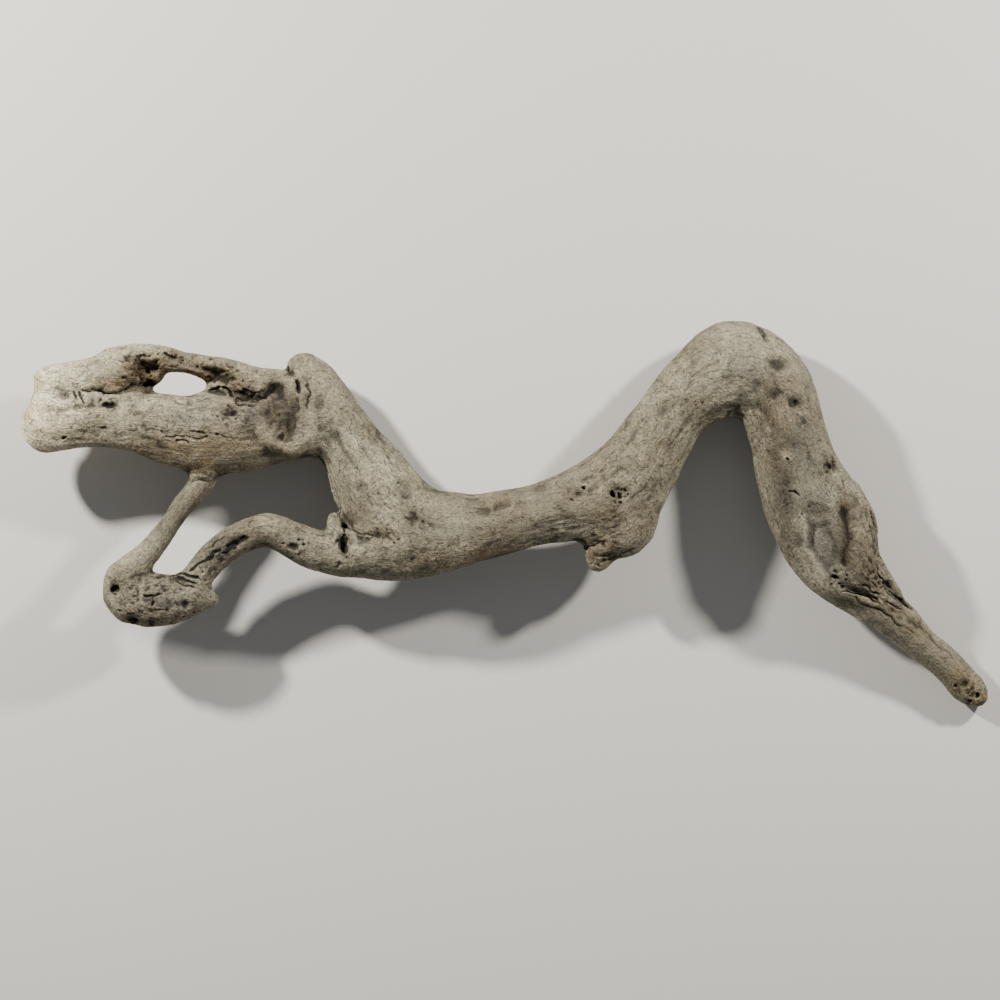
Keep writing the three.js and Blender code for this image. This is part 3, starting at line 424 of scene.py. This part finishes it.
def fractal(points, seed, octaves):
    """Noise with finer and fainter noise on it."""
    return sum(perlin(points * 2 ** n, seed + n) / 2 ** n for n in range(octaves))


# The working surface

def modified(source):
    """The mesh of an object with its modifiers applied."""
    graph = bpy.context.evaluated_depsgraph_get()
    return bpy.data.meshes.new_from_object(source.evaluated_get(graph))


def fine_copy(node):
    """A closed, evenly meshed copy of a CAD solid: points in millimetres, edges and faces."""
    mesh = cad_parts[node].data.copy()
    joined = bmesh.new()
    joined.from_mesh(mesh)
    bmesh.ops.remove_doubles(joined, verts=joined.verts, dist=1e-6)
    joined.to_mesh(mesh)
    joined.free()
    source = bpy.data.objects.new("working_copy", mesh)
    bpy.context.scene.collection.objects.link(source)
    remesh = source.modifiers.new("even", "REMESH")
    remesh.mode = "VOXEL"
    remesh.voxel_size = VOXEL * MM
    even = modified(source)
    bpy.data.objects.remove(source)
    bpy.data.meshes.remove(mesh)
    return even


def read_points(mesh):
    points = np.empty(len(mesh.vertices) * 3)
    mesh.vertices.foreach_get("co", points)
    return points.reshape(-1, 3) / MM


def write_points(mesh, points):
    mesh.vertices.foreach_set("co", (points * MM).ravel())
    mesh.update()


def read_normals(mesh):
    normals = np.empty(len(mesh.vertices) * 3)
    mesh.vertex_normals.foreach_get("vector", normals)
    return normals.reshape(-1, 3)


def make_smoother(mesh):
    """A function that spreads values over the surface, from neighbour to neighbour, round by round."""
    edges = np.empty(len(mesh.edges) * 2, np.int32)
    mesh.edges.foreach_get("vertices", edges)
    a, b = edges.reshape(-1, 2).T
    count = len(mesh.vertices)
    near = np.maximum(np.bincount(a, minlength=count) + np.bincount(b, minlength=count), 1)

    def smooth(values, rounds):
        values = values.reshape(count, -1).copy()
        for _ in range(rounds):
            for column in values.T:
                mean = (np.bincount(a, column[b], count) + np.bincount(b, column[a], count)) / near
                column += SMOOTH_SHARE * (mean - column)
        return values

    return smooth


# Where a point is in the wood

def sample_limb(stations):
    """Samples along a limb: centre, direction, two directions across, half width and run."""
    stations = np.array(stations, float)
    run = np.concatenate([[0], np.cumsum(np.linalg.norm(np.diff(stations[:, :3], axis=0), axis=1))])
    at = np.linspace(0, run[-1], int(run[-1] / LIMB_STEP) + 1)
    line = np.stack([np.interp(at, run, column) for column in stations.T], axis=1)
    for _ in range(LIMB_ROUNDS):
        line[1:-1] = (line[:-2] + 2 * line[1:-1] + line[2:]) / 4
    along = np.gradient(line[:, :3], axis=0)
    along /= np.linalg.norm(along, axis=1, keepdims=True)
    side = np.cross((0, 0, 1), along)
    side /= np.linalg.norm(side, axis=1, keepdims=True)
    over = np.cross(along, side)
    return {"centre": line[:, :3], "along": along, "side": side, "over": over, "half": line[:, 3],
            "run": at}


def limb_coordinates(points, limb):
    """Each point's gap to the limb's surface, and its place in the limb: run, across and over."""
    best = np.full(len(points), np.inf)
    nearest = np.zeros(len(points), int)
    for i, (centre, half) in enumerate(zip(limb["centre"], limb["half"])):
        gap = np.linalg.norm(points - centre, axis=1) - half
        closer = gap < best
        best[closer] = gap[closer]
        nearest[closer] = i
    away = points - limb["centre"][nearest]
    inside = {key: (away * limb[key][nearest]).sum(axis=1) for key in ("along", "side", "over")}
    place = np.stack([limb["run"][nearest] + inside["along"], inside["side"], inside["over"]], axis=1)
    return best, place


def grain_coordinates(points):
    """Each point's place in the trunk and in its nearest side limb, and how far it belongs to that."""
    trunk_gap, trunk = limb_coordinates(points, sample_limb(TRUNK))
    side_gap = np.full(len(points), np.inf)
    side = np.zeros_like(points)
    for number, stations in enumerate(SIDE_LIMBS):
        gap, place = limb_coordinates(points, sample_limb(stations))
        place += (LIMB_SHIFT * (number + 1), 0, 0)
        closer = gap < side_gap
        side_gap[closer] = gap[closer]
        side[closer] = place[closer]
    return trunk, side, smoothstep(-LIMB_MELT, LIMB_MELT, trunk_gap - side_gap)


def grain_noise(grain, along, across, seed, octaves=2):
    """Noise stretched along the grain."""
    trunk, side, share = grain
    scale = np.array([along, across, across])
    return (fractal(trunk / scale, seed, octaves) * (1 - share)
            + fractal(side / scale, seed, octaves) * share)


# Shapes seen from above

def line_gap(points, line):
    """Distance from each point to a line, seen from above, and how far along it that is, 0 to 1."""
    gap = np.full(len(points), np.inf)
    place = np.zeros(len(points))
    ends = np.array(line, float)
    for i, (start, end) in enumerate(zip(ends[:-1], ends[1:])):
        step = end - start
        share = np.clip((points[:, :2] - start) @ step / (step @ step), 0, 1)
        away = np.linalg.norm(points[:, :2] - start - share[:, None] * step, axis=1)
        closer = away < gap
        gap[closer] = away[closer]
        place[closer] = (i + share[closer]) / (len(ends) - 1)
    return gap, place


def spot(points, x, y, length, width, turn):
    """How far out of an ellipse each point is, seen from above: 0 in the middle and 1 on its edge."""
    dx, dy = points[:, 0] - x, points[:, 1] - y
    along = dx * math.cos(turn) + dy * math.sin(turn)
    across = dy * math.cos(turn) - dx * math.sin(turn)
    return np.hypot(along / length, across / width)


def near_spot(points, x, y, reach):
    """Which points lie near a place, seen from above."""
    return np.flatnonzero((abs(points[:, 0] - x) < reach) & (abs(points[:, 1] - y) < reach))


def near_line(points, line, reach):
    """Which points lie in the box round a line, seen from above."""
    low, high = np.min(line, axis=0) - reach, np.max(line, axis=0) + reach
    return np.flatnonzero(((points[:, :2] > low) & (points[:, :2] < high)).all(axis=1))


def wander(points, size, span, seed):
    """The points, shifted by noise, so that outlines drawn on them look worn and not ruled."""
    shift = np.stack([perlin(points / span, seed + axis) for axis in range(3)], axis=1)
    return points + size * shift


def all_pits():
    """The named holes, and the small ones of the rotten wood, drawn at random."""
    draw = np.random.default_rng(SEED)
    pits = list(PITS)
    for x, y, length, width, turn, _, count, size in ROTTEN:
        for _ in range(count):
            out, way = math.sqrt(draw.uniform(0, 1)), draw.uniform(0, math.tau)
            along, across = length * out * math.cos(way), width * out * math.sin(way)
            radius = size * draw.uniform(0.5, 1.4)
            pits.append((x + along * math.cos(turn) - across * math.sin(turn),
                         y + along * math.sin(turn) + across * math.cos(turn),
                         radius * draw.uniform(1, 1.8), radius, draw.uniform(-0.6, 0.6),
                         radius * draw.uniform(0.6, 1.3), 0.1))
    return pits


def pit_depths(loose):
    """How deep the holes are at each point, and how far into the nearest one it is, 0 to 1."""
    depth = np.zeros(len(loose))
    inside = np.zeros(len(loose))
    for x, y, length, width, turn, deepest, rim in all_pits():
        at = near_spot(loose, x, y, 1.8 * max(length, width))
        away = spot(loose[at], x, y, length, width, turn)
        depth[at] = np.maximum(depth[at], deepest * (1 - smoothstep(0.25, 1.05, away)))
        depth[at] -= rim * np.exp(-((away - 1.3) / 0.28) ** 2)
        inside[at] = np.maximum(inside[at], (1 - smoothstep(0.1, 1.2, away)) * min(1, deepest / 2.6))
    return depth, inside


def crack_depths(loose):
    """How deep the cracks are at each point, and how black."""
    depth = np.zeros(len(loose))
    black = np.zeros(len(loose))
    for line, half, deepest, dark in CRACKS:
        at = near_line(loose, line, 2 * half)
        gap, place = line_gap(loose[at], line)
        reach = half * np.clip(np.minimum(5 * place, 5 * (1 - place)) + 0.25, 0, 1)
        opening = deepest * reach / half * (1 - smoothstep(0.1, 1, gap / reach))
        depth[at] = np.maximum(depth[at], opening)
        black[at] = np.maximum(black[at], dark * (1 - smoothstep(0.2, 1.25, gap / reach)))
    return depth, black


def worn(points):
    """Two sizes of wandering for the outlines of holes and cracks."""
    return wander(wander(points, 1.6, 6, 20), 0.55, 2.6, 30)


def relief(points, normals, grain):
    """How far each point moves out along its normal."""
    upper = smoothstep(-0.1, 0.35, normals[:, 2])
    loose = worn(points)
    out = np.zeros(len(points))
    for x, y, length, width, turn, height in FORMS:
        at = near_spot(points, x, y, 2.2 * max(length, width))
        out[at] += height * np.exp(-spot(points[at], x, y, length, width, turn) ** 2)
    for line, half, height in LIPS:
        at = near_line(loose, line, 2.5 * half)
        gap, place = line_gap(loose[at], line)
        taper = np.clip(np.minimum(4 * place, 4 * (1 - place)), 0, 1)
        out[at] += height * taper * np.exp(-(gap / half) ** 2)
    out -= pit_depths(loose)[0] + crack_depths(loose)[0]
    rough = fractal(wander(points, 1.5, 5, 100) / 4.2, 110, 3)
    for x, y, length, width, turn, size, _, _ in ROTTEN:
        at = near_spot(points, x, y, 1.3 * max(length, width))
        inside = 1 - smoothstep(0.5, 1.2, spot(points[at], x, y, length, width, turn))
        out[at] += inside * size * (rough[at] - 0.2)
    out *= upper
    # Standing fibres.
    fibres = grain_noise(grain, *FIBRE_WAVES, 190)
    for x, y, length, width, turn, height in FIBROUS:
        at = near_spot(points, x, y, 1.4 * max(length, width))
        inside = 1 - smoothstep(0.4, 1.3, spot(points[at], x, y, length, width, turn))
        out[at] += inside * height * fibres[at]
    # Checks that follow the grain, on all sides.
    checks = smoothstep(0.34, 0.75, grain_noise(grain, *CHECK_WAVES, 150, 1))
    out -= (CHECK_DEPTH + UNDERSIDE_CHECKS * (1 - upper)) * checks
    # Lumps, long flutes, wrinkles and grit.
    wavy = wander(points, 2.2, 9, 160)
    rest = 1 - CALM_SHARE * calmness(points)
    out += LUMPS[0] * fractal(points / LUMPS[1], 60, 2)
    out += FLUTES[0] * grain_noise(grain, *FLUTES[1:], 70)
    out += WRINKLES[0] * rest * (0.4 - np.abs(fractal(wavy / WRINKLES[1], 170, 2)))
    out += FINE_FLUTES[0] * grain_noise(grain, *FINE_FLUTES[1:], 80)
    out += GRIT[0] * rest * perlin(points / GRIT[1], 90)
    return out


def make_surface():
    """The wood as one fine closed mesh, with its relief carved in and fewer faces."""
    mesh = fine_copy("driftwood")
    smooth = make_smoother(mesh)
    points = read_points(mesh)
    soft = smooth(points, SMOOTH_ROUNDS)
    points = soft + smooth(points - soft, SMOOTH_ROUNDS)
    write_points(mesh, points)
    normals = smooth(read_normals(mesh), 4)
    normals /= np.linalg.norm(normals, axis=1, keepdims=True)
    on_floor = points[:, 2] < FLOOR_GAP
    moved = points + relief(points, normals, grain_coordinates(points))[:, None] * normals
    points = np.where(on_floor[:, None], points, moved)
    points = np.clip(points, np.array(CAD_BOX[0]) / MM, np.array(CAD_BOX[1]) / MM)
    write_points(mesh, points)
    return simplified(mesh)


def simplified(mesh):
    """The mesh with fewer faces, all of them triangles."""
    source = bpy.data.objects.new("working_copy", mesh)
    bpy.context.scene.collection.objects.link(source)
    triangles = sum(len(face.vertices) - 2 for face in mesh.polygons)
    fewer = source.modifiers.new("fewer", "DECIMATE")
    fewer.ratio = min(1, TRIANGLES / triangles)
    fewer.use_collapse_triangulate = True
    result = modified(source)
    bpy.data.objects.remove(source)
    bpy.data.meshes.remove(mesh)
    return result


def store(mesh, name, values):
    """Keeps a value for each point, or a vector, under a name that the material reads."""
    kind = "FLOAT_VECTOR" if values.ndim == 2 else "FLOAT"
    layer = mesh.attributes.new(name, kind, "POINT")
    layer.data.foreach_set("vector" if values.ndim == 2 else "value", values.astype(np.float32).ravel())


def stain_and_shade_cover(points, spots, seed):
    """How much each point is covered by the listed spots, 0 to 1: stains, and in a few places painted
    shade. The edges of the spots fade and wander.
    """
    loose = wander(wander(points, 3.0, 9, seed), 1.4, 3, seed + 5)
    total = np.zeros(len(points))
    for x, y, length, width, turn, strength in spots:
        near = near_spot(loose, x, y, 1.4 * max(length, width))
        inside = 1 - smoothstep(0, 1.3, spot(loose[near], x, y, length, width, turn))
        total[near] = np.maximum(total[near], strength * inside)
    return total


def tones(points):
    """How much paler or darker than the rest the wood is painted at each point: its own tone, and in
    places painted light and shade.
    """
    loose = wander(points, 2.5, 12, 180)
    total = np.zeros(len(points))
    for x, y, length, width, turn, change in TONES_AND_PAINTED_LIGHT:
        total += change * np.exp(-spot(loose, x, y, length, width, turn) ** 2)
    return total


def calmness(points):
    """How much smoother and plainer than the rest the wood is at each point, 0 to 1."""
    loose = wander(points, 6, 20, 185)
    total = np.zeros(len(points))
    for x, y, length, width, turn, share in CALM:
        inside = 1 - smoothstep(0.5, 1.4, spot(loose, x, y, length, width, turn))
        total = np.maximum(total, share * inside)
    return total


def store_looks(mesh):
    """Keeps what the material reads at each point."""
    points = read_points(mesh)
    normals = read_normals(mesh)
    smooth = make_smoother(mesh)
    upper = smoothstep(-0.2, 0.3, normals[:, 2])
    trunk, side, share = grain_coordinates(points)
    store(mesh, "trunk_grain", trunk)
    store(mesh, "side_grain", side)
    store(mesh, "side_share", share)
    loose = worn(points)
    store(mesh, "pit", upper * pit_depths(loose)[1])
    store(mesh, "crack", upper * crack_depths(loose)[1])
    store(mesh, "dark", upper * stain_and_shade_cover(points, DARK_STAINS_AND_PAINTED_SHADE, 120))
    store(mesh, "brown", upper * stain_and_shade_cover(points, BROWN_STAINS_AND_PAINTED_SHADE, 130))
    store(mesh, "grey", upper * stain_and_shade_cover(points, GREY_FLOORS, 140))
    store(mesh, "tone_and_painted_light", tones(points))
    store(mesh, "calm", upper * calmness(points))
    # How hollow or raised the surface is, at two sizes. The material paints shade into the hollows and
    # light onto the rises with these.
    fine_hollow = ((smooth(points, 4) - points) * normals).sum(axis=1)
    wide_hollow = ((smooth(points, 25) - points) * normals).sum(axis=1)
    store(mesh, "fine_hollow", smooth(fine_hollow, 1).ravel())
    store(mesh, "wide_hollow", smooth(wide_hollow, 2).ravel())


# Material

class Nodes:
    """Short calls that make and join shader nodes. An input is a socket or a number."""

    def __init__(self, material):
        material.use_nodes = True
        self.tree = material.node_tree
        self.tree.nodes.clear()

    def add(self, kind, inputs=(), **settings):
        node = self.tree.nodes.new(kind)
        for name, value in settings.items():
            setattr(node, name, value)
        for key, value in dict(inputs).items():
            self.put(node.inputs[key], value)
        return node

    def put(self, socket, value):
        if isinstance(value, bpy.types.NodeSocket):
            self.tree.links.new(value, socket)
        else:
            socket.default_value = value

    def attribute(self, name, output="Fac"):
        return self.add("ShaderNodeAttribute", attribute_name=name).outputs[output]

    def math(self, operation, a, b=0.0, c=0.0):
        return self.add("ShaderNodeMath", {0: a, 1: b, 2: c}, operation=operation).outputs[0]

    def ramp(self, value, low, high, start=0.0, end=1.0):
        """value from low to high, turned smoothly into start to end."""
        inputs = {"Value": value, "From Min": low, "From Max": high, "To Min": start, "To Max": end}
        return self.add("ShaderNodeMapRange", inputs, interpolation_type="SMOOTHSTEP").outputs["Result"]

    def mix(self, share, a, b, blend="MIX"):
        node = self.add("ShaderNodeMix", data_type="RGBA", blend_type=blend)
        self.put(node.inputs["Factor"], share)
        self.put(node.inputs[6], a)
        self.put(node.inputs[7], b)
        return node.outputs[2]

    def noise(self, vector, scale, detail=3.0, roughness=0.55, distortion=0.0):
        inputs = {"Vector": vector, "Scale": scale, "Detail": detail, "Roughness": roughness,
                  "Distortion": distortion}
        return self.add("ShaderNodeTexNoise", inputs).outputs["Fac"]


def rgb(red, green, blue):
    return (red, green, blue, 1)


BLEACHED = rgb(0.170, 0.155, 0.111)
WEATHERED = rgb(0.112, 0.097, 0.066)
GREY = rgb(0.098, 0.091, 0.080)
BROWN = rgb(0.105, 0.068, 0.030)
FIBRE = rgb(0.026, 0.019, 0.011)
BLACK = rgb(0.006, 0.005, 0.004)
BUMP_UNIT = 0.0013                     # metres


def wood_material():
    material = bpy.data.materials.new("bleached_driftwood")
    n = Nodes(material)
    place = n.add("ShaderNodeTexCoord").outputs["Object"]
    share = n.attribute("side_share")

    def grain(along, across, detail=3.0, roughness=0.55, distortion=0.0):
        """Noise stretched along the grain, its cells so many millimetres long and wide."""
        values = []
        for name in ("trunk_grain", "side_grain"):
            scale = (1 / along, 1 / across, 1 / across)
            inputs = {0: n.attribute(name, "Vector"), 1: scale}
            cell = n.add("ShaderNodeVectorMath", inputs, operation="MULTIPLY")
            values.append(n.noise(cell.outputs[0], 1.0, detail, roughness, distortion))
        blend = n.add("ShaderNodeMix", {"Factor": share}, data_type="FLOAT")
        n.put(blend.inputs[2], values[0])
        n.put(blend.inputs[3], values[1])
        return blend.outputs[0]

    def lines(value, count, width):
        """1 on thin lines where the value passes even steps, as where year rings reach the surface."""
        wave = n.math("PINGPONG", n.math("MULTIPLY", value, count), 1.0)
        return n.ramp(wave, width, 0.0)

    patches = n.noise(place, 24, 4, 0.62)
    blotches = n.noise(place, 62, 3, 0.6, 0.4)
    mottle = n.noise(place, 150, 5, 0.7)
    grit = n.noise(place, 620, 3, 0.75)
    fibres = grain(8, 1.5, 4, 0.65)
    rings = grain(34, 11, 3, 0.5, 0.8)
    swirls = n.noise(place, 62, 3, 0.5, 0.9)
    ragged = n.noise(place, 330, 4, 0.7)
    fine_hollow = n.attribute("fine_hollow")

    ring_lines = n.math("MULTIPLY", lines(rings, 17, 0.26), n.ramp(mottle, 0.44, 0.58))
    swirl_lines = n.math("MULTIPLY", lines(swirls, 11, 0.2), n.ramp(mottle, 0.56, 0.42))
    fine_lines = n.math("MAXIMUM", ring_lines, swirl_lines)
    # Brightness of the colour: random mottle, grit, fibres and ring lines, plus painted shade and light.
    # The fine_hollow and wide_hollow measures darken creases and hollows and brighten raised edges, and
    # the table of paler and darker parts adds painted light and shade in places.
    mottle_and_painted_shade = 1.0
    for field, low, high, darkest, palest in (
            (blotches, 0.36, 0.64, 0.84, 1.10), (mottle, 0.34, 0.66, 0.76, 1.20),
            (grit, 0.32, 0.68, 0.62, 1.34), (fibres, 0.30, 0.50, 0.62, 1.06),
            (fine_lines, 1.0, 0.0, 0.42, 1.0), (fine_hollow, 0.18, -0.10, 0.32, 1.45)):
        mottle_and_painted_shade = n.math("MULTIPLY", mottle_and_painted_shade, n.ramp(field, low, high, darkest, palest))
    mottle_and_painted_shade = n.math("POWER", mottle_and_painted_shade, n.ramp(n.attribute("calm"), 0.0, 1.0, 1.0, 0.4))
    mottle_and_painted_shade = n.math("MULTIPLY", mottle_and_painted_shade, n.ramp(n.attribute("wide_hollow"), 0.9, -0.3, 0.76, 1.06))
    mottle_and_painted_shade = n.math("MULTIPLY", mottle_and_painted_shade, n.math("ADD", n.attribute("tone_and_painted_light"), 1.0))
    colour = n.mix(n.ramp(patches, 0.34, 0.66), WEATHERED, BLEACHED)
    grey = n.math("MULTIPLY", n.attribute("grey"), n.ramp(mottle, 0.3, 0.7, 0.9, 0.5))
    colour = n.mix(grey, colour, GREY)
    brown = n.math("MULTIPLY", n.attribute("brown"), n.ramp(blotches, 0.3, 0.65, 1.0, 0.5))
    colour = n.mix(brown, colour, BROWN)
    colour = n.mix(1.0, colour, mottle_and_painted_shade, "MULTIPLY")
    # Dark spots, going from dark brown to black: stains, and where marked in their table, painted shade.
    stain_and_painted_shade = n.math("MULTIPLY", n.attribute("dark"), n.ramp(ragged, 0.34, 0.64, 0.35, 1.2))
    soot_and_painted_shade = n.mix(n.ramp(stain_and_painted_shade, 0.5, 1.0), FIBRE, BLACK)
    colour = n.mix(n.ramp(stain_and_painted_shade, 0.0, 1.0, 0.0, 0.95), colour, soot_and_painted_shade)
    # Holes and cracks are filled with black: painted shade of their depths, over dark, rotten wood in
    # places.
    opening = n.math("MAXIMUM", n.attribute("crack"), n.attribute("pit"))
    opening = n.math("MULTIPLY_ADD", n.math("SUBTRACT", ragged, 0.5), 1.3, opening)
    colour = n.mix(n.ramp(opening, 0.38, 0.85, 0.0, 0.92), colour, BLACK)

    # Heights of the finest relief, in parts of BUMP_UNIT.
    height = n.math("MULTIPLY", fibres, 0.5)
    height = n.math("MULTIPLY_ADD", mottle, 1.1, height)
    height = n.math("MULTIPLY_ADD", grit, 0.6, height)
    height = n.math("MULTIPLY_ADD", fine_lines, -0.28, height)
    bump = n.add("ShaderNodeBump", {"Height": height, "Distance": BUMP_UNIT, "Strength": 1.0})

    shader = n.add("ShaderNodeBsdfPrincipled", {
        "Base Color": colour, "Roughness": n.ramp(mottle, 0.3, 0.7, 0.72, 0.9),
        "Specular IOR Level": 0.25, "Normal": bump.outputs["Normal"]})
    output = n.add("ShaderNodeOutputMaterial")
    n.put(output.inputs["Surface"], shader.outputs["BSDF"])
    return material


def make_driftwood():
    mesh = make_surface()
    mesh.name = "driftwood_surface"
    store_looks(mesh)
    mesh.shade_smooth()
    mesh.materials.clear()
    mesh.materials.append(wood_material())
    piece = bpy.data.objects.new("driftwood_surface", mesh)
    bpy.context.scene.collection.objects.link(piece)
    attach(piece, "root")
    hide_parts("driftwood")


# Floor, light and camera

def make_floor():
    far = FLOOR_REACH
    corners = [(-far, -far, 0), (far, -far, 0), (far, far, 0), (-far, far, 0)]
    mesh = bpy.data.meshes.new("floor")
    mesh.from_pydata(corners, [], [(0, 1, 2, 3)])
    material = bpy.data.materials.new("pale_floor")
    n = Nodes(material)
    shader = n.add("ShaderNodeBsdfPrincipled", {"Base Color": FLOOR_COLOUR, "Roughness": 0.9})
    n.put(n.add("ShaderNodeOutputMaterial").inputs["Surface"], shader.outputs["BSDF"])
    mesh.materials.append(material)
    floor = bpy.data.objects.new("floor", mesh)
    bpy.context.scene.collection.objects.link(floor)


def make_lamp(name, place, target, power):
    """A soft round lamp that shines on a target."""
    lamp = bpy.data.lights.new(name, "AREA")
    lamp.shape = "DISK"
    lamp.size = LAMP_SIZE
    lamp.energy = power
    lamp.color = LAMP_COLOUR
    light = bpy.data.objects.new(name, lamp)
    light.location = place
    light.rotation_mode = "QUATERNION"
    light.rotation_quaternion = (Vector(target) - Vector(place)).to_track_quat("-Z", "Y")
    bpy.context.scene.collection.objects.link(light)


def make_lights():
    for lamp in LAMPS:
        make_lamp(*lamp)
    world = bpy.data.worlds.new("studio")
    world.use_nodes = True
    background = world.node_tree.nodes["Background"]
    background.inputs["Color"].default_value = SKY_COLOUR
    background.inputs["Strength"].default_value = SKY_STRENGTH
    bpy.context.scene.world = world


def make_camera():
    data = bpy.data.cameras.new("camera")
    data.sensor_width = SENSOR
    data.lens = SENSOR * CAMERA_HEIGHT / FRAME_WIDTH
    data.clip_start, data.clip_end = 0.1, 100
    camera = bpy.data.objects.new("camera", data)
    camera.location = Vector(VIEW_CENTRE) * MM + Vector((0, 0, CAMERA_HEIGHT * MM))
    bpy.context.scene.collection.objects.link(camera)
    bpy.context.scene.camera = camera


make_camera()
make_lights()
make_floor()
make_driftwood()
